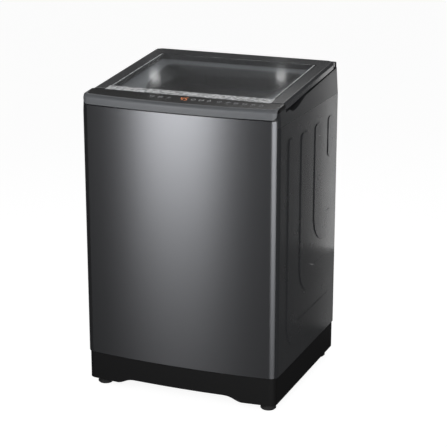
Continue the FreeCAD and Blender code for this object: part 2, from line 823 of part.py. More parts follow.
def lid_frame():
    """Moulded lid with rounded edges, a window and lugs for the hinge pins."""
    block = prism(lid_outline(0, -lid_thickness), lid_thickness)
    top_edges = [edge for edge in block.Edges if abs(edge.BoundBox.ZMin) < 1e-6
                 and edge.BoundBox.YMax > lid_front_y + 3]
    block = block.makeFillet(lid_edge, top_edges)
    room = prism(lid_outline(lid_skin, -lid_thickness - 1), lid_thickness + 1 - lid_skin - 2)
    wall = window_box(6, -lid_thickness, -lid_skin - 1)
    body = block.cut(room).fuse(wall)
    for side in (-1, 1):
        x0, x1 = hinge_span(side, 0.3)
        lug0, lug1 = (x0 - 12, x0) if side > 0 else (x1, x1 + 12)
        body = body.fuse(box(lug0, lug1, hinge_y - 8, lid_rear_y - 2, -17, -lid_skin))
        end0, end1 = (x1, half_width - lid_side_inset - 2) if side > 0 else (
            -half_width + lid_side_inset + 2, x0)
        body = body.fuse(box(end0, end1, hinge_y - 8, hinge_y + 6, -17, -lid_skin))
    body = body.cut(window_box(0, -lid_thickness - 5, 5))
    body = body.cut(window_box(glass_rebate, -glass_thickness, 5))
    body = body.cut(trim_seat())
    body = body.cut(box(-400, 400, hinge_y - 6, lid_rear_y + 5, -lid_thickness - 1, -17))
    for side in (-1, 1):
        body = body.cut(hinge_notch(side))
        body = body.cut(hinge_bar(side, hinge_pin_radius, 0.0))
    return on_slope(body.removeSplitter())


def hinge_bar(side, radius, short):
    x0, x1 = hinge_span(side, 10.0 - short)
    return bar(radius, Vector(x0, hinge_y, -hinge_pin_drop), Vector(x1, hinge_y, -hinge_pin_drop))


def trim_seat():
    half = half_width - window_side + glass_rebate
    y0 = lid_front_y - 5
    return box(-half, half, y0, lid_front_y + trim_width, -trim_height, 5)


def lid_trim():
    """Bright bar along the lid's front edge."""
    half = half_width - window_side + glass_rebate
    y0 = lid_front_y + panel_gap / 2
    strip = box(-half, half, y0, lid_front_y + trim_width, -trim_height, 0.5)
    edges = [edge for edge in strip.Edges if abs(edge.BoundBox.ZMin - 0.5) < 1e-6]
    return on_slope(strip.makeChamfer(0.4, edges))


def lid_glass():
    return on_slope(window_box(glass_rebate - 0.3, -glass_thickness, -0.2))


def window_trims():
    """Slim bright strips on the glass, along both sides of the window."""
    strips = []
    half = half_width - window_side
    front = lid_front_y + trim_width + 4
    rear = back_y - window_rear - 2
    for side in (-1, 1):
        x0, x1 = sorted((side * half, side * (half - side_trim_width)))
        strips.append(on_slope(box(x0, x1, front, rear, -0.2, 0.5)))
    return strips


def lid_inner_frame():
    """Flat ring that closes the lid from below and holds the glass."""
    ring_plate = prism(lid_outline(lid_skin + 0.2, -lid_thickness), 3.0)
    ring_plate = ring_plate.cut(window_box(6.3, -lid_thickness - 1, 0))
    ring_plate = ring_plate.cut(box(-400, 400, hinge_y - 12, 400, -50, 0))
    return on_slope(ring_plate)


def lid_bumpers():
    pads = []
    x = half_width - 29.0
    for side in (-1, 1):
        for y in (lid_front_y + 30, hinge_y - 40):
            pads.append(on_slope(disc(5, deck_level + 0.3, -lid_thickness, side * x, y)))
    return pads


def hinge_pins():
    return [on_slope(hinge_bar(side, hinge_pin_radius, 0.5)) for side in (-1, 1)]


def hinge_brackets():
    """Upright ears on the deck that carry the lid's pins."""
    ears = []
    for side in (-1, 1):
        x0, x1 = hinge_span(side, 0.0)
        radius = hinge_pin_radius + 3.2
        eye = bar(radius, Vector(x0, hinge_y, -hinge_pin_drop), Vector(x1, hinge_y, -hinge_pin_drop))
        post = box(x0, x1, hinge_y - radius, hinge_y + hinge_pin_radius, deck_level,
                   -hinge_pin_drop)
        bore = bar(hinge_pin_radius + shaft_clearance, Vector(x0 - 1, hinge_y, -hinge_pin_drop),
                   Vector(x1 + 1, hinge_y, -hinge_pin_drop))
        ears.append(on_slope(joined(eye, post).cut(bore)))
    return ears


def rear_hinge_cover():
    """Black strip behind the lid that closes the top's rear edge."""
    half = half_width - frame_lean - 2
    front = lid_rear_y + 4.5
    rear = corner_y + slope_length - 2
    outer = rounded_block(-half, half, front, rear, deck_level, -7, 4)
    edges = [edge for edge in outer.Edges if abs(edge.BoundBox.ZMin + 7) < 1e-6]
    outer = outer.makeFillet(2.5, edges)
    room = box(-half + 3, half - 3, front + 2.5, rear - 2.5, deck_level - 1, -9.5)
    return on_slope(outer.cut(room))


# ---------------------------------------------------------------- water and detergent
def dispenser_block(grow, forward):
    """Outer form of the dispenser housing."""
    x0 = drawer_left - housing_wall - grow
    x1 = drawer_left + drawer_width + housing_wall + grow
    y0 = drawer_y - forward
    y1 = y0 + forward + drawer_depth + housing_rear + housing_wall + grow
    z0 = drawer_z - housing_wall - grow
    z1 = drawer_z + drawer_height + housing_wall + grow
    return box(x0, x1, y0, y1, z0, z1)


def dispenser_housing():
    """Case in the rear of the top that the detergent drawer slides into."""
    shell = dispenser_block(0, 0)
    gap = drawer_gap
    room = box(drawer_left - gap, drawer_left + drawer_width + gap, drawer_y - 50,
               drawer_y + drawer_depth + housing_rear - 1, drawer_z - gap,
               drawer_z + drawer_height + gap)
    return shell.cut(room)


def detergent_drawer():
    x0, x1 = drawer_left, drawer_left + drawer_width
    y0, y1 = drawer_y, drawer_y + drawer_depth
    z0, z1 = drawer_z, drawer_z + drawer_height
    body = box(x0, x1, y0 + 1, y1, z0, z1 - 2)
    split = x0 + 0.6 * drawer_width
    main = rounded_block(x0 + drawer_wall, split, y0 + 4, y1 - drawer_wall, z0 + drawer_wall,
                         z1 + 5, 6)
    softener = rounded_block(split + drawer_wall, x1 - drawer_wall, y0 + 4, y1 - drawer_wall,
                             z0 + drawer_wall, z1 + 5, 6)
    face = rounded_block(x0, x1, z0, z1, 0, 3, 3)
    face.rotate(Vector(0, 0, 0), Vector(1, 0, 0), 90)
    face.translate(Vector(0, y0 + 3, 0))
    lip = box(x0 + 35, x1 - 35, y0 - 8, y0 + 1, z1 - 7, z1 - 4)
    return joined(body.cut(main).cut(softener), face, lip)


def inlet_valve():
    """Solenoid water valve; its threaded spigot passes out through the rear of the top."""
    tip = back_y + rear_reach
    spigot = bar(inlet_radius, Vector(inlet_x, back_y - 12, inlet_z), Vector(inlet_x, tip, inlet_z))
    bore = bar(9.0, Vector(inlet_x, back_y - 2, inlet_z), Vector(inlet_x, tip + 1, inlet_z))
    collar = bar(17.0, Vector(inlet_x, back_y - 16, inlet_z), Vector(inlet_x, back_y - 10, inlet_z))
    nut = bar(17.0, Vector(inlet_x, back_y + 0.3, inlet_z), Vector(inlet_x, back_y + 4, inlet_z))
    body = box(inlet_x - 15, inlet_x + 15, back_y - 50, back_y - 14, inlet_z - 15, inlet_z + 15)
    coil = disc(13, inlet_z - 46, inlet_z - 15, inlet_x, back_y - 32)
    outlet = bar(7, Vector(inlet_x - 30, back_y - 32, inlet_z), Vector(inlet_x, back_y - 32, inlet_z))
    return joined(spigot, collar, nut, body, coil, outlet).cut(bore)


def inlet_hose():
    """Short hose from the valve to the dispenser."""
    y = back_y - 32
    x0 = inlet_x - 30
    x1 = drawer_left + drawer_width + housing_wall
    return bar(9, Vector(x1, y, inlet_z), Vector(x0, y, inlet_z)).cut(
        bar(7, Vector(x0 - 8, y, inlet_z), Vector(x0 + 1, y, inlet_z)))


# ---------------------------------------------------------------- tub
def outer_tub():
    """Plastic tub with a ribbed bottom and a lug for each suspension rod."""
    top = tub_bottom + tub_height
    out = tub_radius + tub_wall
    hole = tub_hub_radius
    profile = [(hole, tub_bottom), (out, tub_bottom), (out, top), (tub_radius, top),
               (tub_radius, tub_bottom + 4), (hole, tub_bottom + 4)]
    tub = revolved(profile, 0, tub_y)
    hub = ring(hole + 12, hole, tub_foot, tub_bottom + 10, 0, tub_y)
    skirt = ring(150, 146, tub_foot, tub_bottom, 0, tub_y)
    pieces = [hub, skirt]
    for i in range(8):
        rib = box(40, out - 4, -2, 2, tub_foot, tub_bottom)
        rib.rotate(Vector(0, 0, 0), Vector(0, 0, 1), 22.5 + i * 45)
        rib.translate(Vector(0, tub_y, 0))
        pieces.append(rib)
    for x, y in rod_places():
        pieces.append(tub_lug(x, y))
    tub = tub.fuse(pieces)
    tub = tub.cut(disc(tub_radius, tub_bottom + 4, top + 1, 0, tub_y))
    tub = tub.cut(disc(hole, 0, 1000, 0, tub_y))
    drain = disc(18, tub_foot - 1, tub_bottom + 5, valve_x, valve_y)
    return tub.cut(drain).removeSplitter()


def tub_lug(x, y):
    """Arm from the tub's wall to the boss round a suspension rod."""
    reach = math.hypot(x, y - tub_y)
    angle = math.degrees(math.atan2(y - tub_y, x))
    top = lug_bottom + lug_height
    plate = Part.makePolygon([Vector(tub_radius, -38, top - 5), Vector(reach, -20, top - 5),
                              Vector(reach, 20, top - 5), Vector(tub_radius, 38, top - 5),
                              Vector(tub_radius, -38, top - 5)])
    arm = Part.Face(plate).extrude(Vector(0, 0, 5))
    webs = []
    for w in (-16, 16):
        corners = [Vector(tub_radius + 1, w - 2, top - 5), Vector(reach, w - 2, top - 5),
                   Vector(reach, w - 2, lug_bottom), Vector(tub_radius + 1, w - 2, lug_bottom - 45),
                   Vector(tub_radius + 1, w - 2, top - 5)]
        webs.append(Part.Face(Part.makePolygon(corners)).extrude(Vector(0, 4, 0)))
    boss = disc(24, lug_bottom, top, reach, 0)
    hole = disc(rod_radius + 3, lug_bottom - 60, top + 10, reach, 0)
    lug = joined(arm, boss, *webs).cut(hole)
    lug = lug.cut(disc(cup_radius + 1, lug_bottom - 60, lug_bottom, reach, 0))
    lug.rotate(Vector(0, 0, 0), Vector(0, 0, 1), angle)
    lug.translate(Vector(0, tub_y, 0))
    return lug


def damper_cup(x, y):
    """Plastic cup under a tub lug; it slides over the rod's plate and holds the spring."""
    outer = disc(cup_radius, lug_bottom - cup_height, lug_bottom, x, y)
    room = disc(cup_radius - cup_wall, lug_bottom - cup_height - 1, lug_bottom - 4, x, y)
    hole = disc(rod_radius + 1, 0, 1000, x, y)
    return outer.cut(room).cut(hole)


def suspension_spring(x, y):
    """Coil spring between the rod's plate and its cup."""
    low = rod_bottom + 9 + spring_wire / 2
    high = lug_bottom - 4 - spring_wire / 2
    coil_radius = cup_radius - cup_wall - spring_wire / 2 - 2.5
    helix = Part.makeHelix((high - low) / spring_turns, high - low, coil_radius)
    half = spring_wire / 2
    section = Part.makePolygon([
        Vector(coil_radius - half, 0, -half), Vector(coil_radius + half, 0, -half),
        Vector(coil_radius + half, 0, half), Vector(coil_radius - half, 0, half),
        Vector(coil_radius - half, 0, -half)])
    spring = Part.Wire(helix).makePipeShell([section], True, True)
    spring.translate(Vector(x, y, low))
    return spring


def tub_cover():
    """Ring on the tub's rim that keeps splashes in."""
    top = tub_bottom + tub_height
    out = tub_radius + tub_wall
    high = top + cover_rise
    profile = [(out + 0.3, top - cover_lip), (out + 3, top - cover_lip), (out + 3, high - 14),
               (out - 10, high), (cover_inner_radius, high), (cover_inner_radius, high - 3),
               (out - 11, high - 3), (out + 0.3, high - 15)]
    return revolved(profile, 0, tub_y)


def drive_bracket():
    """Folded steel plate under the tub that carries the clutch and the motor."""
    top = tub_foot
    plate = rounded_block(-80, 80, tub_y - 130, motor_y + 62, top - bracket_plate, top, 20)
    folds = [box(x, x + bracket_plate, tub_y - 110, motor_y + 40, top - 18, top)
             for x in (-80, 80 - bracket_plate)]
    bracket = joined(plate, *folds)
    bracket = bracket.cut(disc(32, 0, 1000, 0, tub_y))
    return bracket.cut(disc(24, 0, 1000, 0, motor_y))


def clutch_housing():
    """Bearing and clutch case round the spin tube."""
    top = tub_foot
    bore = spin_tube_radius + shaft_clearance
    low = pulley_bottom + 34
    profile = [(bore, low), (40, low), (56, low + 14), (56, top - bracket_plate - 8),
               (70, top - bracket_plate - 6), (70, top - bracket_plate), (31, top - bracket_plate),
               (31, tub_bottom - 1), (neck_radius, tub_bottom - 1),
               (neck_radius, tub_bottom + 8), (bore, tub_bottom + 8)]
    return revolved(profile, 0, tub_y)


def shaft_seal():
    """Lip seal between the tub's hub and the bearing case."""
    out = tub_hub_radius
    return revolved([(neck_radius, tub_bottom), (out, tub_bottom), (out, tub_bottom + 9),
                     (neck_radius + 2, tub_bottom + 9), (neck_radius, tub_bottom + 6)], 0, tub_y)


def motor_body():
    """Drive motor: end shields, stator pack and mounting ears."""
    y, top = motor_y, motor_top
    low = top - motor_height
    shield = motor_radius - 6
    profile = [(motor_shaft_radius + shaft_clearance, low), (22, low), (shield, low + 6),
               (shield, low + 18), (motor_radius, low + 18), (motor_radius, top - 18),
               (shield, top - 18), (shield, top - 4), (22, top), (0, top), (0, top - 6),
               (motor_shaft_radius + shaft_clearance, top - 6)]
    case = revolved(profile, 0, y)
    ears = box(-motor_ear - 8, motor_ear + 8, y - 12, y + 12, top - 6, top)
    motor = joined(case, ears)
    for side in (-1, 1):
        motor = motor.cut(disc(5, 0, 1000, side * motor_ear, y))
    return motor.cut(disc(motor_shaft_radius + shaft_clearance, low - 1, top - 6, 0, y))


def motor_mounts():
    """Rubber bushes and bolts between the motor's ears and the bracket."""
    high = tub_foot - bracket_plate
    mounts = []
    for x in (-motor_ear, motor_ear):
        bush = disc(10, motor_top, high, x, motor_y)
        bolt = disc(3, motor_top - 12, high, x, motor_y)
        head = disc(7, motor_top - 12, motor_top - 6, x, motor_y)
        mounts.append(joined(bush, bolt, head))
    return mounts


def motor_rotor():
    """Motor shaft with its small belt pulley."""
    shaft = disc(motor_shaft_radius, pulley_bottom, motor_top - 6.5, 0, motor_y)
    return joined(shaft, pulley(motor_pulley_radius, motor_shaft_radius - 1, 0, motor_y))


def pulley(radius, bore, x, y):
    low = pulley_bottom
    high = low + belt_height + 4
    groove = radius - belt_thickness - belt_clearance
    return revolved([(bore, low), (radius, low), (radius, low + 1.5), (groove, low + 1.8),
                     (groove, high - 1.8), (radius, high - 1.5), (radius, high), (bore, high)],
                    x, y)


def driven_pulley():
    """Large pulley on the drive shaft, with a web of spokes."""
    wheel = pulley(pulley_radius, pulley_radius - 16, 0, tub_y)
    hub = disc(22, pulley_bottom, pulley_bottom + 26, 0, tub_y)
    web = disc(pulley_radius - 12, pulley_bottom + 5, pulley_bottom + 10, 0, tub_y)
    wheel = joined(wheel, hub, web)
    for i in range(6):
        hole = disc(10, 0, 200, 38, 0)
        hole.rotate(Vector(0, 0, 0), Vector(0, 0, 1), 60 * i)
        hole.translate(Vector(0, tub_y, 0))
        wheel = wheel.cut(hole)
    return wheel.cut(disc(drive_shaft_radius, 0, 200, 0, tub_y))


def drive_belt():
    """Closed belt round both pulleys, as two arcs and two straight runs."""
    inner_large = pulley_radius - belt_thickness
    inner_small = motor_pulley_radius - belt_thickness
    low = pulley_bottom + 2.2
    high = pulley_bottom + belt_height + 1.8
    outer = belt_loop(inner_large + belt_thickness - 0.5, inner_small + belt_thickness - 0.5, low)
    inner = belt_loop(inner_large, inner_small, low)
    return prism(outer, high - low).cut(prism(inner, high - low))


def belt_loop(large, small, z):
    """Outer tangents and arcs round two circles, motor_distance apart along Y."""
    tilt = math.asin((large - small) / motor_distance)
    cosine, sine = math.cos(tilt), math.sin(tilt)

    def at(radius, centre, side):
        return Vector(side * radius * cosine, centre + radius * sine, z)

    edges = [
        Part.Arc(at(large, tub_y, 1), Vector(0, tub_y - large, z), at(large, tub_y, -1)).toShape(),
        Part.makeLine(at(large, tub_y, -1), at(small, motor_y, -1)),
        Part.Arc(at(small, motor_y, -1), Vector(0, motor_y + small, z), at(small, motor_y, 1)).toShape(),
        Part.makeLine(at(small, motor_y, 1), at(large, tub_y, 1)),
    ]
    return Part.Wire(edges)


def drain_valve():
    """Valve under the tub's drain hole, with its outlet towards the rear."""
    top = tub_foot
    body = disc(30, top - 52, top, valve_x, valve_y)
    neck = disc(17.5, top, tub_bottom + 4, valve_x, valve_y)
    outlet = bar(16, Vector(valve_x, valve_y, drain_z), Vector(valve_x, valve_y + 46, drain_z))
    plunger = bar(13, Vector(valve_x - valve_reach, valve_y, drain_z),
                  Vector(valve_x, valve_y, drain_z))
    return joined(body, neck, outlet, plunger)


def drain_actuator():
    """Motor that pulls the drain valve open."""
    top = tub_foot
    x = valve_x - valve_reach
    case = rounded_block(x - 46, x, valve_y - 20, valve_y + 20, top - 50, top - 4, 5)
    lug = box(x - 46, x, valve_y - 8, valve_y + 8, top - 4, top)
    return joined(case, lug)


def drain_hose():
    """Rubber hose with thick cuffs, from the drain valve to the spigot in the back panel."""
    start = valve_y + 30
    end = back_y - spigot_tail - 0.3
    bore = 16.3
    profile = [(bore, start), (21, start), (21, start + hose_cuff), (19, start + hose_cuff + 4),
               (19, end - hose_cuff - 4), (21, end - hose_cuff), (21, end), (bore, end)]
    hose = revolved(profile)
    hose.rotate(Vector(0, 0, 0), Vector(1, 0, 0), -90)
    hose.translate(Vector(drain_x, 0, drain_z))
    return hose


def trap_place():
    angle = math.radians(trap_angle)
    radius = tub_radius + tub_wall + 10
    return radius * math.cos(angle), tub_y + radius * math.sin(angle)


def air_trap():
    """Small chamber at the foot of the tub's wall, with a nipple for the pressure tube."""
    x, y = trap_place()
    body = box(-10, 8, -13, 13, tub_bottom + 20, tub_bottom + 58)
    body.rotate(Vector(0, 0, 0), Vector(0, 0, 1), trap_angle)
    body.translate(Vector(x, y, 0))
    body = body.cut(disc(tub_radius + tub_wall, 0, 1000, 0, tub_y))
    return joined(body, disc(2.5, tub_bottom + 58, tub_bottom + 70, x, y))


def pressure_tube():
    """Thin tube up the tub's side, turned over to the pressure sensor's nipple."""
    x, y = trap_place()
    low = tub_bottom + 58
    bend = 12.0
    rise = disc(4, low, sensor_z - bend, x, y)
    turn = Part.makeTorus(bend, 4, Vector(x + bend, y, sensor_z - bend), Vector(0, -1, 0), 0, 360, 90)
    turn.rotate(Vector(x + bend, y, sensor_z - bend), Vector(0, 1, 0), 180)
    run = bar(4, Vector(x + bend, y, sensor_z), Vector(sensor_nipple_x - 0.3, y, sensor_z))
    tube = joined(rise, turn, run)
    return tube.cut(disc(2.5, low - 1, low + 12, x, y))


def pressure_sensor():
    """Round level sensor clipped inside the top's right side."""
    y = trap_place()[1]
    inner = half_width - frame_wall - 3.5
    puck = bar(21, Vector(inner - 17, y, sensor_z), Vector(inner, y, sensor_z))
    nipple = bar(3, Vector(sensor_nipple_x, y, sensor_z), Vector(inner - 17, y, sensor_z))
    return joined(puck, nipple)


def lid_lock():
    """Lid switch and lock under the deck, beside the funnel."""
    near = half_width - rim_side + funnel_wall + 1
    case = box(near, near + 26, middle_y - 8, middle_y + 42, deck_level - 21, deck_level - 3)
    return on_slope(case)


# ---------------------------------------------------------------- basket
def basket_wall():
    """Stainless drum."""
    return ring(basket_radius, basket_radius - basket_sheet, basket_bottom,
                basket_bottom + basket_height, 0, tub_y)


def basket_base():
    """Moulded drum bottom, dished for the pulsator."""
    edge = basket_radius - basket_sheet
    low = basket_bottom - 14
    profile = [(20, low), (edge - 14, low), (edge, basket_bottom), (edge, basket_bottom + 22),
               (edge - 3, basket_bottom + 22), (edge - 6, basket_bottom + 14),
               (pulsator_radius + 6, basket_bottom + 14), (pulsator_radius + 2, basket_bottom - 8),
               (20, basket_bottom - 8)]
    return revolved(profile, 0, tub_y)


def balance_ring():
    """Hollow fluid ring on the drum's top edge."""
    top = basket_bottom + basket_height
    edge = basket_radius - basket_sheet
    inner = edge - balance_width
    profile = [(inner + 4, top - 12), (edge, top - 12), (edge, top), (basket_radius + 2, top),
               (basket_radius + 2, top + balance_height - 16),
               (basket_radius - 4, top + balance_height - 10), (inner + 6, top + balance_height - 10),
               (inner, top + balance_height - 18)]
    return revolved(profile, 0, tub_y)


def hub_flange():
    """Aluminium spider under the drum, with the hollow spin tube."""
    low = tub_bottom + 12
    high = basket_bottom - 14
    disc_plate = revolved([(0, low), (32, low), (hub_radius, high - 8), (hub_radius, high),
                           (0, high)], 0, tub_y)
    tube = disc(spin_tube_radius, pulley_bottom + 30, high, 0, tub_y)
    spider = joined(disc_plate, tube)
    for i in range(6):
        hole = disc(16, 0, 1000, hub_radius - 36, 0)
        hole.rotate(Vector(0, 0, 0), Vector(0, 0, 1), 60 * i)
        hole.translate(Vector(0, tub_y, 0))
        spider = spider.cut(hole)
    return spider.cut(disc(drive_shaft_radius + shaft_clearance, 0, 1000, 0, tub_y))


def lint_filter(angle):
    """Pocket filter on the drum's wall."""
    outer = basket_radius - basket_sheet
    frame = ring(outer, outer - filter_depth, filter_low, filter_high)
    frame = frame.common(box(0, 400, -filter_half, filter_half, 0, 1000))
    pocket = ring(outer - 2.5, outer - filter_depth + 2.5, filter_low + 4, filter_high - 4)
    frame = frame.cut(pocket.common(box(0, 400, 4 - filter_half, filter_half - 4, 0, 1000)))
    for i in range(int((filter_high - filter_low - 20) / filter_pitch)):
        z = filter_low + filter_pitch * (i + 1)
        frame = frame.cut(box(100, outer - filter_depth / 2, 11 - filter_half, filter_half - 11,
                              z, z + filter_slot))
    frame.rotate(Vector(0, 0, 0), Vector(0, 0, 1), angle)
    frame.translate(Vector(0, tub_y, 0))
    return frame


# ---------------------------------------------------------------- pulsator and drive shaft
def pulsator():
    """Wash plate with swept vanes."""
    low = basket_bottom - 4
    profile = [(drive_shaft_radius, low), (60, low), (pulsator_radius - 4, low + 6),
               (pulsator_radius, low + 8), (pulsator_radius, low + 12),
               (pulsator_radius - 10, low + 14), (70, low + 11), (46, low + 18),
               (34, low + 32), (20, low + 38), (drive_shaft_radius, low + 38)]
    plate = revolved(profile, 0, 0)
    vanes = []
    for i in range(pulsator_vanes):
        vane = pulsator_vane(low + 9)
        vane.rotate(Vector(0, 0, 0), Vector(0, 0, 1), i * 360.0 / pulsator_vanes)
        vanes.append(vane)
    wheel = plate.fuse(vanes)
    wheel = wheel.cut(disc(drive_shaft_radius, 0, 1000))
    wheel.translate(Vector(0, tub_y, 0))
    return wheel


def pulsator_vane(level):
    """One curved vane with sloping flanks and coned ends, bent round a centre beside it."""
    low, high = vane_width / 2, vane_crest / 2
    reach = pulsator_radius - vane_margin - vane_start
    turn = math.degrees(2 * math.asin(reach / (2 * vane_bend)))
    section = [Vector(vane_bend - low, 0, 0), Vector(vane_bend + low, 0, 0),
               Vector(vane_bend + high, 0, vane_height), Vector(vane_bend - high, 0, vane_height)]
    face = Part.Face(Part.makePolygon(section + section[:1]))
    vane = face.revolve(Vector(0, 0, 0), Vector(0, 0, 1), turn)
    end = Part.makeCone(low, high, vane_height, Vector(vane_bend, 0, 0))
    tip = end.copy()
    tip.rotate(Vector(0, 0, 0), Vector(0, 0, 1), turn)
    vane = vane.fuse([end, tip])
    vane.rotate(Vector(0, 0, 0), Vector(0, 0, 1), -90 - turn)
    vane.translate(Vector(vane_start, vane_bend, level))
    return vane


def pulsator_screw():
    low = basket_bottom + 34
    return joined(disc(12, low, low + 4, 0, tub_y),
                  disc(3.5, low - 20, low, 0, tub_y))


def drive_shaft():
    low = pulley_bottom - 4
    high = basket_bottom + 34
    shaft = disc(drive_shaft_radius, low, high, 0, tub_y)
    shaft = shaft.cut(disc(3.5, high - 20, high + 1, 0, tub_y))
    nut = disc(13, low - 2, low + 4, 0, tub_y)
    return joined(shaft, nut).cut(disc(3.5, high - 20, high + 1, 0, tub_y))


# ---------------------------------------------------------------- rear and inner fittings
def drain_outlet():
    """Spigot for the waste hose; its flange lies on the back panel, its barb inside."""
    tip = back_y + rear_reach
    start = back_y - spigot_tail

    def part(radius, near, far):
        return bar(radius, Vector(drain_x, near, drain_z), Vector(drain_x, far, drain_z))

    flange_plate = part(drain_radius + 6, back_y, back_y + spigot_flange)
    tube = part(drain_radius, back_y + spigot_flange, tip)
    barb = part(barb_radius, start, back_y)
    bore = part(barb_radius - 2.5, start - 1, tip + 1)
    return joined(tube, flange_plate, barb).cut(bore)


def cable_gland():
    """Bush for the mains cable in the back panel."""
    outer = bar(gland_radius, Vector(gland_x, back_y - 10, gland_z), Vector(gland_x, back_y + 8, gland_z))
    collar = bar(gland_radius + 4, Vector(gland_x, back_y, gland_z), Vector(gland_x, back_y + 4, gland_z))
    bore = bar(gland_radius - 4.5, Vector(gland_x, back_y - 11, gland_z),
               Vector(gland_x, back_y + 9, gland_z))
    return joined(outer, collar).cut(bore)


def run_capacitor():
    """Motor capacitor strapped to the back panel."""
    x, z, wall = capacitor_x, capacitor_z, back_y - sheet
    y = wall - capacitor_radius - 4
    can = disc(capacitor_radius, z, z + capacitor_height, x, y)
    strap = ring(capacitor_radius + 2, capacitor_radius, z + 30, z + 44, x, y)
    foot_plate = box(x - 30, x + 30, wall - 3, wall, z + 30, z + 44)
    return joined(can, strap, foot_plate.cut(disc(capacitor_radius, 0, 1000, x, y)))


def write_parts():
    save("front_panel", front_panel())
    right = side_panel()
    save("right_side_panel", right)
    save("left_side_panel", mirrored(right))
    save("back_panel", back_panel())
    save("rear_service_cover", service_cover())
    save("base_plinth", base_plinth())
    places = foot_places()
    save("front_left_foot", foot(*places[0]))
    save("front_right_foot", foot(*places[1]))
    save("rear_feet", *[foot(*place) for place in places[2:]])
    save("corner_brackets", *[corner_bracket(*place) for place in rod_places()])
    save("rod_seats", *[rod_seat(*place) for place in rod_places()])
    save("suspension_rods", *[suspension_rod(*place) for place in rod_places()])
    save("top_frame", top_frame())
    save("front_fascia", front_fascia())
    save("control_panel", control_panel())
    save("control_board", control_board())
    save("display_module", display_module())
    save("board_tray", board_tray())
    save("lid_frame", lid_frame())
    save("lid_glass", lid_glass())
    save("lid_trims", lid_trim(), *window_trims())
    save("lid_inner_frame", lid_inner_frame())
    save("lid_bumpers", *lid_bumpers())
    save("hinge_pins", *hinge_pins())
    save("hinge_brackets", *hinge_brackets())
    save("rear_hinge_cover", rear_hinge_cover())
    save("dispenser_housing", dispenser_housing())
    save("detergent_drawer", detergent_drawer())
    save("inlet_valve", inlet_valve())
    save("inlet_hose", inlet_hose())
    save("outer_tub", outer_tub())
    save("tub_cover", tub_cover())
    save("damper_cups", *[damper_cup(*place) for place in rod_places()])
    save("suspension_springs", *[suspension_spring(*place) for place in rod_places()])
    save("drive_bracket", drive_bracket())
    save("clutch_housing", clutch_housing())
    save("shaft_seal", shaft_seal())
    save("motor_body", motor_body())
    save("motor_mounts", *motor_mounts())
    save("motor_rotor", motor_rotor())
    save("drive_belt", drive_belt())
    save("driven_pulley", driven_pulley())
    save("drain_valve", drain_valve())
    save("drain_actuator", drain_actuator())
    save("basket_wall", basket_wall())
    save("basket_base", basket_base())
    save("balance_ring", balance_ring())
    save("hub_flange", hub_flange())
    save("lint_filters", lint_filter(0), lint_filter(180))
    save("pulsator", pulsator())
    save("pulsator_screw", pulsator_screw())
    save("drive_shaft", drive_shaft())
    save("drain_outlet", drain_outlet())
    save("drain_hose", drain_hose())
    save("air_trap", air_trap())
    save("pressure_tube", pressure_tube())
    save("pressure_sensor", pressure_sensor())
    save("lid_lock", lid_lock())
    save("cable_gland", cable_gland())
    save("run_capacitor", run_capacitor())


os.makedirs("parts", exist_ok=True)
write_parts()
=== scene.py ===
"""Looks of a top load washing machine: finishes, drum, springs, key marks, screws, studio.

Laid out as a Blender add-on and run as a script. Lengths are in metres, +Z is up and the
front faces -Y, as in the frame.
"""

import json
import math

import bmesh
import bpy
from bpy.props import FloatProperty, FloatVectorProperty, PointerProperty
from mathutils import Matrix, Vector
from mathutils.bvhtree import BVHTree


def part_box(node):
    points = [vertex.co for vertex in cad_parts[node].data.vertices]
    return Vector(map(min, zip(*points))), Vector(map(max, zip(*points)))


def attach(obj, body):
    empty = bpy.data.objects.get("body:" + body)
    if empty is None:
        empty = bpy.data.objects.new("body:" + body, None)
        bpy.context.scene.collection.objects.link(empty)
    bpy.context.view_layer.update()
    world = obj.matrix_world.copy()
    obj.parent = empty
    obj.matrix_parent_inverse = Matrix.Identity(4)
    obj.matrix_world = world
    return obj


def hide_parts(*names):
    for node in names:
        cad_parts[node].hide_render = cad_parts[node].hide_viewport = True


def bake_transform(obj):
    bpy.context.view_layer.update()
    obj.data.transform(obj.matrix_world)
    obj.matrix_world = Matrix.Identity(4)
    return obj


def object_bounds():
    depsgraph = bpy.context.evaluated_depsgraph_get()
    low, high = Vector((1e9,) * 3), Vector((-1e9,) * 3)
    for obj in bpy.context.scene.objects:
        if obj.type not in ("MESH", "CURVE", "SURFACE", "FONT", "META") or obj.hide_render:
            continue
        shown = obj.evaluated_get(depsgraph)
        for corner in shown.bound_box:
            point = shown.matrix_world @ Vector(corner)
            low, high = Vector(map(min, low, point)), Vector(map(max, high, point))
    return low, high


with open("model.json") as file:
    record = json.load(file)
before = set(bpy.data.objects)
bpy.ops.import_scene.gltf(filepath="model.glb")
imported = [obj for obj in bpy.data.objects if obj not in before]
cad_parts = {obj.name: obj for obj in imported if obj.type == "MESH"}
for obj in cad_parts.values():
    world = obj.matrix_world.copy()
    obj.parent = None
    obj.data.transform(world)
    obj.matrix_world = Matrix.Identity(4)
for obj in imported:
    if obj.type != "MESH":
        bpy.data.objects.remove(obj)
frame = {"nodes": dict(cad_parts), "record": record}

bl_info = {
    "name": "Top Load Washing Machine",
    "version": (1, 0, 0),
    "blender": (4, 5, 0),
    "location": "3D View > Sidebar > Washer",
    "description": "Finishes and fine detail of a top load washing machine",
    "category": "Object",
}

cad_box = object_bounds()
MM = 0.001  # a millimetre, in metres
MM_IN_METRE = 1000.0
ABOVE_ALL = 2.0  # a height over the whole machine

# suspension springs
SPRING_WIRE = 3 * MM
SPRING_TURNS = 5

# the lighter coat of the deck: how far in from the sides of the lid's inner frame it
# ends, and how far below the middle of that frame, square to the slope
DECK_MARGIN = 12 * MM
DECK_DEPTH = 16 * MM

# camera's aim, from the middle of the machine's base; sensor width in mm
AIM = (31.4 * MM, -6 * MM, 469.4 * MM)
SENSOR = 36.0
FARTHEST_SEEN = 100.0
FLOOR_REACH = 12.0  # from its middle to each edge

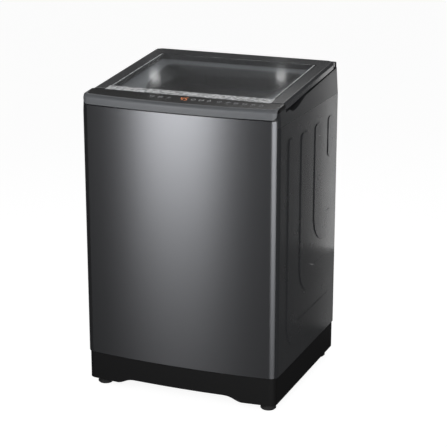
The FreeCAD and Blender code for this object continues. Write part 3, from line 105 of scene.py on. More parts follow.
GLINT_SIZE = 0.1  # lights up to this size are round
# name, place, the point it faces, width, height and watts of each soft light but the key
SOFT_LIGHTS = (
    ("wide_right_light", (1.55, -2.06, 0.8), (0.29, -0.26, 0.6), 2.3, 1.6, 36.0),
    ("rear_side_light", (0.38, 0.47, 0.58), (0.3, 0.25, 0.6), 0.07, 0.6, 0.18),
    ("low_side_light", (0.38, 0.47, 0.13), (0.3, 0.25, 0.15), 0.07, 0.3, 0.025),
    ("rear_left_light", (-0.75, 1.39, 2.12), (0, -0.2, 0.9), 1.7, 0.75, 5.0),
    ("top_light", (0.9, 0.2, 2.6), (0, 0, 0.9), 1.0, 1.0, 7.0),
    ("left_glint", (-1.24, 2.11, 1.85), (-0.2, 0.03, 0.87), 0.05, 0.04, 0.012),
    ("right_glint", (-0.68, 2.29, 1.87), (0.156, 0.139, 0.87), 0.05, 0.04, 0.011),
)


# ---------------------------------------------------------------- small tools
def linear(code):
    """sRGB hex colour to linear values."""
    parts = [int(code[i:i + 2], 16) / 255 for i in (0, 2, 4)]
    return [p / 12.92 if p <= 0.04045 else ((p + 0.055) / 1.055) ** 2.4 for p in parts]


def add(tree, kind, inputs=None, **settings):
    """Adds a node; an input is given a value, or another node's output to be linked to it."""
    node = tree.nodes.new(kind)
    for name, value in settings.items():
        setattr(node, name, value)
    for name, value in (inputs or {}).items():
        if isinstance(value, bpy.types.NodeSocket):
            tree.links.new(value, node.inputs[name])
        else:
            node.inputs[name].default_value = value
    return node


def rgba(colour):
    """A colour with full opacity."""
    return (*colour, 1.0)


def surface(name, colour, roughness, metallic=0.0, **more):
    """A material with one Principled shader; further socket values come by keyword."""
    material = bpy.data.materials.new(name)
    material.use_nodes = True
    tree = material.node_tree
    tree.nodes.clear()
    shader = add(tree, "ShaderNodeBsdfPrincipled", {
        "Base Color": rgba(colour), "Roughness": roughness, "Metallic": metallic})
    for socket, value in more.items():
        shader.inputs[socket.replace("_", " ")].default_value = value
    add(tree, "ShaderNodeOutputMaterial", {"Surface": shader.outputs["BSDF"]})
    material.diffuse_color = rgba(colour)
    return material, tree, shader


def place_mm(tree, stretch=(1.0, 1.0, 1.0)):
    """The piece's own coordinates in millimetres, squeezed along each axis by stretch."""
    coordinates = add(tree, "ShaderNodeTexCoord")
    scale = [MM_IN_METRE / s for s in stretch]
    mapping = add(tree, "ShaderNodeMapping", {
        "Vector": coordinates.outputs["Object"], "Scale": scale})
    return mapping.outputs["Vector"]


def grain(tree, shader, size, depth, stretch=(1.0, 1.0, 1.0), detail=3.0):
    """Bump of noise grains about size mm wide and depth mm deep."""
    noise = add(tree, "ShaderNodeTexNoise", {
        "Vector": place_mm(tree, stretch), "Scale": 1.0 / size, "Detail": detail})
    bump = add(tree, "ShaderNodeBump", {
        "Height": noise.outputs["Fac"], "Distance": depth * MM, "Strength": 1.0})
    tree.links.new(bump.outputs["Normal"], shader.inputs["Normal"])


def cloudy(tree, shader, low, high, size, socket="Base Color"):
    """Lets a colour or a roughness drift between two values, in patches size mm wide."""
    noise = add(tree, "ShaderNodeTexNoise", {
        "Vector": place_mm(tree), "Scale": 1.0 / size, "Detail": 2.0})
    if socket == "Base Color":
        drift = add(tree, "ShaderNodeMix", {
            "Factor": noise.outputs["Fac"], "A": rgba(low), "B": rgba(high)},
            data_type="RGBA")
    else:
        drift = add(tree, "ShaderNodeMapRange", {
            "Value": noise.outputs["Fac"], "To Min": low, "To Max": high})
    tree.links.new(drift.outputs["Result"], shader.inputs[socket])


def finish(material, *nodes):
    """Gives each named CAD node the material."""
    for name in nodes:
        frame["nodes"][name].material_slots[0].material = material


def new_piece(name, build, body, material, smooth=True):
    """A mesh object from a bmesh function; it rides on the body, where one is given."""
    shape = bmesh.new()
    build(shape)
    mesh = bpy.data.meshes.new(name)
    shape.to_mesh(mesh)
    shape.free()
    mesh.materials.append(material)
    if smooth:
        mesh.shade_smooth()
    piece = bpy.data.objects.new(name, mesh)
    bpy.context.scene.collection.objects.link(piece)
    if body:
        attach(piece, body)
    return piece


def quarters(node):
    """Low and high corners of the four like parts of a node, one in each quarter."""
    points = [vertex.co for vertex in frame["nodes"][node].data.vertices]
    for right in (False, True):
        for back in (False, True):
            part = [p for p in points if (p.x > 0) == right and (p.y > 0) == back]
            yield (Vector([min(p[axis] for p in part) for axis in range(3)]),
                   Vector([max(p[axis] for p in part) for axis in range(3)]))


def coil(shape, low, high, wire, turns):
    """A spring in the box from low to high: round wire wound upwards, ring by ring."""
    centre = (low + high) / 2
    radius = (high.x - low.x - wire) / 2
    start, rise = low.z + wire / 2, high.z - low.z - wire
    slope = math.atan2(rise / turns, math.tau * radius)
    steps, sides = 28, 8  # rings in one turn, and corners of each ring
    rings = []
    for step in range(steps * turns + 1):
        turn = math.tau * step / steps
        out = Vector((math.cos(turn), math.sin(turn), 0))
        on = Vector((-out.y * math.cos(slope), out.x * math.cos(slope), math.sin(slope)))
        across = on.cross(out)
        spot = Vector((centre.x, centre.y, start + rise * step / (steps * turns)))
        rings.append([
            shape.verts.new(spot + out * (radius + wire / 2 * math.cos(a))
                            + across * wire / 2 * math.sin(a))
            for a in [math.tau * side / sides for side in range(sides)]])
    for first, second in zip(rings, rings[1:]):
        for side in range(sides):
            after = (side + 1) % sides
            shape.faces.new((first[side], first[after], second[after], second[side]))
    shape.faces.new(rings[0])
    shape.faces.new(rings[-1])
    bmesh.ops.recalc_face_normals(shape, faces=shape.faces)


def surface_under(node, x, y):
    """Where a line straight down at (x, y) meets a CAD node, and the surface's normal there."""
    mesh = frame["nodes"][node].data
    corners = [v.co for v in mesh.vertices]
    faces = [p.vertices[:] for p in mesh.polygons]
    point, normal, *_ = BVHTree.FromPolygons(corners, faces).ray_cast(
        Vector((x, y, ABOVE_ALL)), Vector((0, 0, -1)))
    return point, normal


# ---------------------------------------------------------------- what a user may change
class WasherColours(bpy.types.PropertyGroup):
    """Colours of the outside, as linear values."""

    front_steel: FloatVectorProperty(
        name="Front steel", description="Dark brushed sheet of the front panel",
        subtype="COLOR", size=3, min=0, max=1, default=linear("7A7B7E"))
    side_paint: FloatVectorProperty(
        name="Side paint", description="Graphite paint of the side panels",
        subtype="COLOR", size=3, min=0, max=1, default=linear("2B2C2E"))
    moulding: FloatVectorProperty(
        name="Top moulding", description="Dark ABS of the top frame",
        subtype="COLOR", size=3, min=0, max=1, default=linear("303133"))
    deck: FloatVectorProperty(
        name="Deck", description="Lighter grey of the top frame's deck, under the glass",
        subtype="COLOR", size=3, min=0, max=1, default=linear("B4B6B8"))
    band: FloatVectorProperty(
        name="Front band", description="Metallic paint of the band under the controls",
        subtype="COLOR", size=3, min=0, max=1, default=linear("5E6063"))
    lid: FloatVectorProperty(
        name="Lid", description="Dark gloss ABS of the lid's frame",
        subtype="COLOR", size=3, min=0, max=1, default=linear("3C3D3F"))
    # the trim's near-white is partly a painted sheen, as the bar is only part metal
    trim: FloatVectorProperty(
        name="Bright trim", description="Aluminium bar at the lid's front edge",
        subtype="COLOR", size=3, min=0, max=1, default=linear("FAFBFC"))
    lamp: FloatVectorProperty(
        name="Display light", description="Colour of the lit digits",
        subtype="COLOR", size=3, min=0, max=1, default=linear("FF8A2A"))


class WasherDetail(bpy.types.PropertyGroup):
    """Sizes of the fine detail."""

    hole_pitch: FloatProperty(
        name="Hole pitch", description="Drum holes, centre to centre",
        unit="LENGTH", default=26 * MM, min=12 * MM, max=60 * MM)
    hole_size: FloatProperty(
        name="Hole size", description="Diameter of a drum hole",
        unit="LENGTH", default=5 * MM, min=2 * MM, max=10 * MM)
    screw_head: FloatProperty(
        name="Screw head", description="Diameter of a pan head screw",
        unit="LENGTH", default=8.5 * MM, min=4 * MM, max=14 * MM)
    key_size: FloatProperty(
        name="Key mark", description="Height of a touch key's mark",
        unit="LENGTH", default=14 * MM, min=3 * MM, max=20 * MM)
    key_line: FloatProperty(
        name="Key line", description="Line width of a touch key's mark",
        unit="LENGTH", default=1.5 * MM, min=0.3 * MM, max=3 * MM)
    digit_size: FloatProperty(
        name="Digit size", description="Height of the display's digits",
        unit="LENGTH", default=24 * MM, min=5 * MM, max=30 * MM)


class WasherStudio(bpy.types.PropertyGroup):
    """Camera, lights and background."""

    azimuth: FloatProperty(
        name="Azimuth", description="Camera's turn round the machine, from the front",
        subtype="ANGLE", default=math.radians(22.31))
    elevation: FloatProperty(
        name="Elevation", description="Camera's angle above the horizon",
        subtype="ANGLE", default=math.radians(17.02))
    distance: FloatProperty(
        name="Distance", description="Camera to the point it looks at",
        unit="LENGTH", default=4.4406)
    focal: FloatProperty(
        name="Focal length", description="Lens on a 36 mm sensor",
        unit="CAMERA", default=119.48)
    key_power: FloatProperty(
        name="Key power", description="Watts of the tall front light",
        default=15.0, min=0)
    fill: FloatProperty(
        name="Fill", description="Brightness of the room round the machine",
        default=0.26, min=0)
    mirrored: FloatProperty(
        name="Mirrored background",
        description="How bright glossy surfaces see the background",
        default=0.07, min=0, max=1)
    floor_glow: FloatProperty(
        name="Floor glow", description="Glow that lets the camera see the floor as white",
        default=0.9, min=0, max=1)


# ---------------------------------------------------------------- finishes
# sizes and depths of grain, clouds, crystals and facets are in millimetres
def brushed_film_steel(colour):
    """Dark stainless sheet, brushed across: lights on it draw out into tall soft bands."""
    material, tree, shader = surface(
        "brushed_dark_stainless", colour, 0.34, metallic=1.0,
        Anisotropic=0.75, Anisotropic_Rotation=0.25)
    tangent = add(tree, "ShaderNodeTangent", direction_type="RADIAL", axis="Z")
    tree.links.new(tangent.outputs["Tangent"], shader.inputs["Tangent"])
    # brush lines are some 0.1 mm wide; drawn 0.6 mm so that they show
    grain(tree, shader, size=0.6, depth=0.012, stretch=(60.0, 60.0, 1.0), detail=2.0)
    return material


def graphite_paint(colour):
    """Baked graphite paint on steel sheet: satin, slightly cloudy, with some orange peel."""
    material, tree, shader = surface("graphite_baked_paint", colour, 0.27)
    grain(tree, shader, size=3.0, depth=0.02)
    cloudy(tree, shader, low=0.24, high=0.29, size=60.0, socket="Roughness")
    return material


def zinc_sheet():
    """Galvanised steel: grey, its zinc crystals some 8 mm across and unequally shiny."""
    crystal = 8.0
    material, tree, shader = surface(
        "galvanised_steel", linear("8B8E91"), 0.42, metallic=0.9)
    crystals = add(tree, "ShaderNodeTexVoronoi", {
        "Vector": place_mm(tree), "Scale": 1.0 / crystal})
    tone = add(tree, "ShaderNodeSeparateColor", {"Color": crystals.outputs["Color"]})
    ramp = add(tree, "ShaderNodeMapRange", {
        "Value": tone.outputs["Red"], "To Min": 0.30, "To Max": 0.52})
    tree.links.new(ramp.outputs["Result"], shader.inputs["Roughness"])
    return material


def moulded(name, colour, roughness, texture=1.2, depth=0.03, **more):
    """Injection-moulded plastic with a fine eroded texture about texture mm wide."""
    # real texture is some 0.2 mm wide; drawn coarser, so that it shows
    material, tree, shader = surface(name, colour, roughness, **more)
    grain(tree, shader, size=texture, depth=depth)
    return material


def band_paint(colour):
    """Metallic paint on ABS: fine flakes give a soft, even sheen."""
    material, tree, shader = surface("metallic_painted_abs", colour, 0.45, metallic=0.15)
    grain(tree, shader, size=0.5, depth=0.006)
    return material


def gloss_acrylic():
    """Polished black acrylic: mirror gloss over a faint wide ripple."""
    material, tree, shader = surface(
        "black_gloss_acrylic", linear("121213"), 0.12, Coat_Weight=0.5)
    grain(tree, shader, size=14.0, depth=0.01)
    return material


def display_resin():
    """Dark amber resin poured round the display's diodes: half matt."""
    material, tree, shader = surface("display_potting", linear("2A1A12"), 0.5)
    grain(tree, shader, size=1.0, depth=0.02)
    return material


def screen_ink(name, code):
    """Screen-printed ink: flat and half matt, with a trace of the mesh."""
    material, tree, shader = surface(name, linear(code), 0.5)
    grain(tree, shader, size=0.4, depth=0.004)
    return material


def slope_normal():
    """Direction square to the sloping lid, from the lie of its glass."""
    mesh = frame["nodes"]["lid_glass"].data
    top = max(mesh.polygons, key=lambda face: face.normal.z * face.area)
    return top.normal.copy()


def two_tone_abs(outside, deck):
    """Satin ABS, dark on the outside; the deck under the glass has a lighter coat."""
    material, tree, shader = surface("two_tone_satin_abs", outside, 0.32)
    grain(tree, shader, size=1.6, depth=0.012)
    low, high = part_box("lid_inner_frame")
    coordinates = add(tree, "ShaderNodeTexCoord")
    offset = add(tree, "ShaderNodeVectorMath", {
        0: coordinates.outputs["Object"], 1: (low + high) / 2}, operation="SUBTRACT")
    distance = add(tree, "ShaderNodeVectorMath", {
        0: offset.outputs["Vector"]}, operation="ABSOLUTE")
    axes = add(tree, "ShaderNodeSeparateXYZ", {"Vector": distance.outputs["Vector"]})
    across = add(tree, "ShaderNodeMath", {
        0: axes.outputs["X"], 1: (high.x - low.x) / 2 - DECK_MARGIN}, operation="LESS_THAN")
    along = add(tree, "ShaderNodeMath", {
        0: axes.outputs["Y"], 1: (high.y - low.y) / 2}, operation="LESS_THAN")
    within = add(tree, "ShaderNodeMath", {
        0: across.outputs["Value"], 1: along.outputs["Value"]}, operation="MULTIPLY")
    level = add(tree, "ShaderNodeVectorMath", {
        0: offset.outputs["Vector"], 1: slope_normal()}, operation="DOT_PRODUCT")
    raised = add(tree, "ShaderNodeMath", {
        0: level.outputs["Value"], 1: -DECK_DEPTH}, operation="GREATER_THAN")
    coated = add(tree, "ShaderNodeMath", {
        0: within.outputs["Value"], 1: raised.outputs["Value"]}, operation="MULTIPLY")
    colour = add(tree, "ShaderNodeMix", {
        "Factor": coated.outputs["Value"], "A": rgba(outside), "B": rgba(deck)},
        data_type="RGBA")
    tree.links.new(colour.outputs["Result"], shader.inputs["Base Color"])
    return material


def tinted_glass():
    """Tempered soda-lime glass, faintly grey, its gloss a little soft.

    Shadows pass through it almost clear, so that light reaches the drum below.
    """
    material, tree, shader = surface(
        "grey_tempered_glass", linear("E6E8EA"), 0.07, IOR=1.52, Transmission_Weight=1.0)
    clear = add(tree, "ShaderNodeBsdfTransparent", {"Color": rgba(linear("F0F1F2"))})
    ray = add(tree, "ShaderNodeLightPath")
    mix = add(tree, "ShaderNodeMixShader", {
        "Fac": ray.outputs["Is Shadow Ray"], 1: shader.outputs["BSDF"],
        2: clear.outputs["BSDF"]})
    tree.links.new(mix.outputs["Shader"], tree.get_output_node("ALL").inputs["Surface"])
    return material


def engraved_aluminium_painted_glints(colour):
    """Anodised aluminium bar, cross-engraved in small facets that glint, with painted glints on
    them.
    """
    # each facet has its own grey, a painted glint over the real facet bump; drawn 6 mm tall,
    # coarser than real, so that it shows
    facet, wider, deep = 6.0, (1.4, 1.0, 1.0), 1.5
    # only part metal, so that the near-white colour reads bright as a painted sheen where a
    # full metal would mirror the dim room
    material, tree, shader = surface("engraved_aluminium_painted_glints", colour, 0.5, metallic=0.4)
    facets = add(tree, "ShaderNodeTexVoronoi", {
        "Vector": place_mm(tree, wider), "Scale": 1.0 / facet})
    bump = add(tree, "ShaderNodeBump", {
        "Height": facets.outputs["Distance"], "Distance": deep * MM, "Strength": 1.0})
    tree.links.new(bump.outputs["Normal"], shader.inputs["Normal"])
    tone = add(tree, "ShaderNodeSeparateColor", {"Color": facets.outputs["Color"]})
    grey = add(tree, "ShaderNodeMix", {
        "Factor": tone.outputs["Red"], "A": rgba(linear("8E9092")), "B": rgba(colour)},
        data_type="RGBA")
    tree.links.new(grey.outputs["Result"], shader.inputs["Base Color"])
    return material


def drum_stainless():
    """Bright rolled stainless steel with a faint grain along the roll."""
    material, tree, shader = surface(
        "rolled_stainless", linear("B9BBBD"), 0.24, metallic=1.0)
    # roll lines are some 0.1 mm wide; drawn 0.8 mm so that they show
    grain(tree, shader, size=0.8, depth=0.01, stretch=(1.0, 1.0, 40.0))
    return material


def cast_aluminium():
    """Pressure-cast aluminium: dull silver, softly pitted."""
    material, tree, shader = surface("cast_aluminium", linear("A2A4A6"), 0.5, metallic=1.0)
    grain(tree, shader, size=1.5, depth=0.12)
    cloudy(tree, shader, low=0.42, high=0.6, size=14.0, socket="Roughness")
    return material


def dipped_laminations():
    """Stacked steel laminations dipped in black varnish: level lines, a dull shine."""
    material, tree, shader = surface(
        "black_dipped_laminations", linear("2E2F31"), 0.45, metallic=0.6)
    # each sheet is 0.5 mm thick; drawn 0.8 mm so that it shows
    grain(tree, shader, size=0.8, depth=0.08, stretch=(40.0, 40.0, 1.0))
    return material


def bright_steel(name):
    """Turned steel, zinc plated or stainless: bright, faintly ringed by the tool."""
    material, tree, shader = surface(name, linear("B4B6B8"), 0.26, metallic=1.0)
    # rings are some 0.1 mm wide; drawn 0.5 mm so that they show
    grain(tree, shader, size=0.5, depth=0.01, stretch=(30.0, 30.0, 1.0))
    return material


def spring_steel():
    """Phosphated and oiled spring wire: black, with a low gloss."""
    material, tree, shader = surface(
        "phosphated_spring_steel", linear("2C2C2E"), 0.4, metallic=0.7)
    grain(tree, shader, size=0.7, depth=0.02)
    return material


def rubber(name, code="191919"):
    """Black EPDM rubber: matt, with a faint bloom."""
    material, tree, shader = surface(name, linear(code), 0.72)
    grain(tree, shader, size=0.9, depth=0.03)
    cloudy(tree, shader, linear(code), linear("262626"), size=22.0)
    return material


def circuit_board():
    """Glass-fibre board under green solder mask, crossed by paler copper tracks."""
    track_pitch = 4.5  # the texture's bricks are half as wide as its scale
    green = linear("0E4D2A")
    material, tree, shader = surface("green_solder_mask", green, 0.3)
    tracks = add(tree, "ShaderNodeTexBrick", {
        "Vector": place_mm(tree), "Scale": 0.5 / track_pitch, "Color1": rgba(green),
        "Color2": rgba(linear("0B4023")), "Mortar": rgba(linear("2C7A4A")),
        "Mortar Size": 0.06})
    tree.links.new(tracks.outputs["Color"], shader.inputs["Base Color"])
    return material


def lit_diode(colour):
    """Light-emitting diodes behind a printed window: a plain glow, the same all over."""
    return surface("amber_display_light", colour, 0.4,
                   Emission_Color=rgba(colour), Emission_Strength=0.3)[0]


# ---------------------------------------------------------------- shapes
def drum_wall(shape, radius, centre, low, high, pitch, hole):
    """Rolled sheet: square cells in staggered rows, each with an eight-sided hole.

    The lowest and the highest row are plain, where the sheet meets its rims.
    """
    columns = round(math.tau * radius / pitch)
    rows = round((high - low) / pitch)
    half_turn = math.pi / columns
    half_rise = (high - low) / rows / 2
    corners = {}

    def place(column, row):
        angle = column * half_turn
        return Vector((centre.x + radius * math.cos(angle),
                       centre.y + radius * math.sin(angle), low + row * half_rise))

    def corner(column, row):
        key = (column % (2 * columns), row)
        if key not in corners:
            corners[key] = shape.verts.new(place(*key))
        return corners[key]

    border = [(1, 0), (1, 1), (0, 1), (-1, 1), (-1, 0), (-1, -1), (0, -1), (1, -1)]
    sides = len(border)
    for row in range(rows):
        for column in range(columns):
            x = 2 * column + 1 + row % 2
            z = 2 * row + 1
            outside = [corner(x + dx, z + dz) for dx, dz in border]
            if row in (0, rows - 1):
                middle = shape.verts.new(place(x, z))
                for k in range(sides):
                    shape.faces.new((outside[k], outside[(k + 1) % sides], middle))
                continue
            inside = []
            for k in range(sides):
                angle = k * math.tau / sides
                dx = hole / 2 * math.cos(angle) / (radius * half_turn)
                dz = hole / 2 * math.sin(angle) / half_rise
                inside.append(shape.verts.new(place(x + dx, z + dz)))
            for k in range(sides):
                following = (k + 1) % sides
                shape.faces.new((outside[k], outside[following], inside[following], inside[k]))


def ribbon(shape, points, width, onto):
    """A flat line of even width through (u, v) points, laid on a surface by onto(u, v)."""
    pairs = []
    for i, (u, v) in enumerate(points):
        before = points[max(i - 1, 0)]
        after = points[min(i + 1, len(points) - 1)]
        run = Vector((after[0] - before[0], after[1] - before[1])).normalized() * width / 2
        pairs.append((shape.verts.new(onto(u - run.y, v + run.x)),
                      shape.verts.new(onto(u + run.y, v - run.x))))
    for (a, b), (c, d) in zip(pairs, pairs[1:]):
        shape.faces.new((a, b, d, c))


def arc(cu, cv, radius, start, end, steps=14):
    """Points along an arc, angles in degrees."""
    angles = [math.radians(start + (end - start) * i / steps) for i in range(steps + 1)]
    return [(cu + radius * math.cos(a), cv + radius * math.sin(a)) for a in angles]


def wave(u0, u1, v, height):
    """Points along two waves from u0 to u1."""
    waves, steps, span = 2, 16, u1 - u0
    return [(u0 + span * i / steps, v + height * math.sin(waves * math.tau * i / steps))
            for i in range(steps + 1)]


def spiral(turns, radius):
    """Points from the middle outwards."""
    steps = 30
    return [(radius * i / steps * math.cos(math.tau * turns * i / steps),
             radius * i / steps * math.sin(math.tau * turns * i / steps))
            for i in range(steps + 1)]


# marks of the touch keys, in a square from -1 to 1: each is a list of open lines
MARKS = {
    "power": [arc(0, -0.1, 0.85, 125, 415), [(0, 0.1), (0, 1.0)]],
    "start": [[(-0.9, -0.8), (-0.9, 0.8), (0.1, 0), (-0.9, -0.8)],
              [(0.5, -0.8), (0.5, 0.8)], [(0.95, -0.8), (0.95, 0.8)]],
    "water": [wave(-1, 1, 0.5, 0.22), wave(-1, 1, -0.1, 0.22), wave(-1, 1, -0.7, 0.22)],
    "clock": [arc(0, 0, 0.9, 0, 360, 20), [(0, 0.55), (0, 0), (0.45, -0.2)]],
    "spin": [spiral(2.25, 1.0)],
    "drop": [[(0, 1.0), *arc(0, -0.3, 0.65, 150, 390, 16), (0, 1.0)]],
    "tub": [[(-0.9, 0.6), (-0.7, -0.8), (0.7, -0.8), (0.9, 0.6)],
            wave(-0.7, 0.7, 0.1, 0.15)],
    "lock": [[(-0.65, -0.9), (0.65, -0.9), (0.65, 0.1), (-0.65, 0.1), (-0.65, -0.9)],
             arc(0, 0.1, 0.42, 0, 180, 10)],
    "heat": [arc(0, 0.1, 0.4, 0, 360, 12), [(0, -0.6), (0, -0.95)],
             [(-0.6, -0.5), (-0.85, -0.75)], [(0.6, -0.5), (0.85, -0.75)],
             [(-0.9, 0.1), (-0.65, 0.1)], [(0.65, 0.1), (0.9, 0.1)]],
}
# the touch keys in three groups: mm to the right of the machine's middle, and mark
LEFT_KEYS = [(-92, "tub"), (-66, "water"), (-40, "heat")]
MIDDLE_KEYS = [(34, "power"), (58, "start"), (82, "drop")]
RIGHT_KEYS = [(112, "clock"), (137, "spin"), (162, "water"), (187, "tub"), (212, "heat"),
              (237, "lock")]
# in mm: how far up the cap the marks and the dots are, and the three dots of a key
MARK_ROW, DOT_ROW = 3, -9
DOT_PLACES, DOT_SIZE = (-4, 0, 4), 1.6

# the seven bars of a digit, in half heights, then the bars that each digit lights
BARS = [((0, 2), (1, 2)), ((1, 1), (1, 2)), ((1, 0), (1, 1)), ((0, 0), (1, 0)),
        ((0, 0), (0, 1)), ((0, 1), (0, 2)), ((0, 1), (1, 1))]
DIGITS = {"4": (1, 2, 5, 6), "5": (0, 2, 3, 5, 6)}
READING = "45"
DIGIT_WIDTH, BAR_WIDTH = 0.6, 0.2  # in half heights
DIGIT_STEP = 1.8  # in digit widths, from one digit to the next
BAR_GAP = 0.12  # share of a bar left free at each end


def pan_head(diameter):
    """A pan head screw with a cross recess, its seat at z = 0."""
    # radius and height of the head's outline, in half diameters
    profile = [(1.0, 0.0), (1.0, 0.18), (0.88, 0.36), (0.6, 0.5), (0.3, 0.56), (0.0, 0.58)]
    steps, touching = 24, 1e-6
    shape = bmesh.new()
    ring = [shape.verts.new((r * diameter / 2, 0, z * diameter / 2)) for r, z in profile]
    edges = [shape.edges.new(pair) for pair in zip(ring, ring[1:])]
    bmesh.ops.spin(shape, geom=ring + edges, cent=(0, 0, 0), axis=(0, 0, 1),
                   angle=math.tau, steps=steps, use_duplicate=False)
    bmesh.ops.remove_doubles(shape, verts=shape.verts, dist=touching)
    bmesh.ops.contextual_create(shape, geom=[e for e in shape.edges if e.is_boundary])
    bmesh.ops.recalc_face_normals(shape, faces=shape.faces)
    head = bpy.data.objects.new("pan_head", bpy.data.meshes.new("pan_head"))
    shape.to_mesh(head.data)
    shape.clear()
    # the cutter's arms, height and middle, in diameters
    arm, slot, tall, middle = 0.6, 0.14, 0.6, 0.45
    for across, along in ((arm, slot), (slot, arm)):
        size = Matrix.Diagonal((across, along, tall, 1)) * diameter
        size[3][3] = 1
        bmesh.ops.create_cube(
            shape, size=1, matrix=Matrix.Translation((0, 0, middle * diameter)) @ size)
    cross = bpy.data.objects.new("cross", bpy.data.meshes.new("cross"))
    shape.to_mesh(cross.data)
    shape.free()
    for part in (head, cross):
        bpy.context.scene.collection.objects.link(part)
    cut = head.modifiers.new("recess", "BOOLEAN")
    cut.operation = "DIFFERENCE"
    cut.use_self = True
    cut.object = cross
    mesh = bpy.data.meshes.new_from_object(
        head.evaluated_get(bpy.context.evaluated_depsgraph_get()))
    for part in (head, cross):
        bpy.data.objects.remove(part)
    # the cut lists the same faces in another order on each run; this order is fixed
    points = sorted(tuple(vertex.co) for vertex in mesh.vertices)
    number = {point: index for index, point in enumerate(points)}
    faces = []
    for face in mesh.polygons:
        corners = [number[tuple(mesh.vertices[index].co)] for index in face.vertices]
        first = corners.index(min(corners))
        faces.append(corners[first:] + corners[:first])
    mesh.clear_geometry()
    mesh.from_pydata(points, [], sorted(faces))
    return mesh


def screws(name, places, material, diameter):
    """Pan head screws at several places of the machine's back, as one piece."""
    master = pan_head(diameter)
    uneven = 37  # degrees from one screw's recess to the next
    turn = Vector((0, 1, 0)).to_track_quat("Z", "Y").to_matrix().to_4x4()

    def build(shape):
        for number, place in enumerate(places):
            start = len(shape.verts)
            shape.from_mesh(master)
            shape.verts.ensure_lookup_table()
            spin = Matrix.Rotation(math.radians(uneven * number), 4, "Z")
            bmesh.ops.transform(shape, verts=shape.verts[start:],
                                matrix=Matrix.Translation(place) @ turn @ spin)

    return new_piece(name, build, "cabinet", material, smooth=False)


def helix_ridge(shape, start, axis_length, radius, pitch, proud):
    """A thread's crest round a spigot that points along +Y, fading in and out at its ends."""
    around, fading = 24, 8  # steps in one turn, and steps over which the crest fades
    flank, sunk = 0.45, 0.05 * MM  # half the crest's width in pitches; its root's depth
    steps = round(around * axis_length / pitch)
    rings = []
    for i in range(steps + 1):
        angle = math.tau * i / around
        along = start.y + axis_length * i / steps
        fade = min(1.0, i / fading, (steps - i) / fading)
        ring = []
        for side, height in ((-flank, 0.0), (0.0, proud * fade), (flank, 0.0)):
            r = radius + height - sunk
            ring.append(shape.verts.new((start.x + r * math.cos(angle), along + side * pitch,
                                         start.z + r * math.sin(angle))))
        rings.append(ring)
    for a, b in zip(rings, rings[1:]):
        for k in (0, 1):
            shape.faces.new((a[k], b[k], b[k + 1], a[k + 1]))
        shape.faces.new((a[2], b[2], b[0], a[0]))


def turned_ring(shape, centre, profile):
    """A ring turned about the Y direction from closed (radius, distance along Y) points."""
    steps = 48
    rings = []
    for i in range(steps):
        angle = math.tau * i / steps
        rings.append([shape.verts.new((centre.x + r * math.cos(angle), centre.y + y,
                                       centre.z + r * math.sin(angle))) for r, y in profile])
    count = len(profile)
    for i in range(steps):
        a, b = rings[i], rings[(i + 1) % steps]
        for k in range(count):
            n = (k + 1) % count
            shape.faces.new((a[k], a[n], b[n], b[k]))


def mount(name):
    """Middle, radius and length of a round mount of the machine."""
    found = next(m for m in frame["record"]["mounts"] if m["name"] == name)
    dims = found["dims"]
    return Vector(found["pos_m"]), dims["r_mm"] * MM, dims["length_mm"] * MM


# ---------------------------------------------------------------- operators
class WASHER_OT_cabinet(bpy.types.Operator):
    """Finishes the cabinet: front, sides, back, base and feet"""

    bl_idname = "washer.cabinet"
    bl_label = "Cabinet"

    def execute(self, context):
        colours = context.scene.washer_colours
        finish(brushed_film_steel(colours.front_steel), "front_panel")
        finish(graphite_paint(colours.side_paint), "left_side_panel", "right_side_panel")
        finish(zinc_sheet(), "back_panel", "rear_service_cover", "corner_brackets")
        finish(moulded("black_polypropylene", linear("0C0C0D"), 0.65, texture=1.5,
                       Specular_IOR_Level=0.3), "base_plinth")
        finish(rubber("black_foot_rubber", "232324"),
               "front_left_foot", "front_right_foot", "rear_feet")
        return {"FINISHED"}


class WASHER_OT_top(bpy.types.Operator):
    """Finishes the top frame, the band, the controls and the hinge cover"""

    bl_idname = "washer.top"
    bl_label = "Top"

    def execute(self, context):
        colours = context.scene.washer_colours
        finish(two_tone_abs(colours.moulding, colours.deck), "top_frame")
        finish(band_paint(colours.band), "front_fascia")
        finish(gloss_acrylic(), "control_panel")
        finish(moulded("black_abs", linear("151516"), 0.36),
               "rear_hinge_cover", "hinge_brackets", "lid_lock", "board_tray")
        finish(circuit_board(), "control_board")
        finish(display_resin(), "display_module")
        return {"FINISHED"}


class WASHER_OT_lid(bpy.types.Operator):
    """Finishes the lid: frames, glass, bright trims, buffers and pins"""

    bl_idname = "washer.lid"
    bl_label = "Lid"

    def execute(self, context):
        colours = context.scene.washer_colours
        finish(moulded("dark_gloss_abs", colours.lid, 0.18, texture=2.0, depth=0.006),
               "lid_frame")
        finish(moulded("dark_ring_abs", linear("1D1D1E"), 0.4), "lid_inner_frame")
        finish(tinted_glass(), "lid_glass")
        finish(engraved_aluminium_painted_glints(colours.trim), "lid_trims")
        finish(rubber("soft_buffer_rubber", "2A2A2A"), "lid_bumpers")
        finish(bright_steel("hinge_pin_steel"), "hinge_pins")
        return {"FINISHED"}


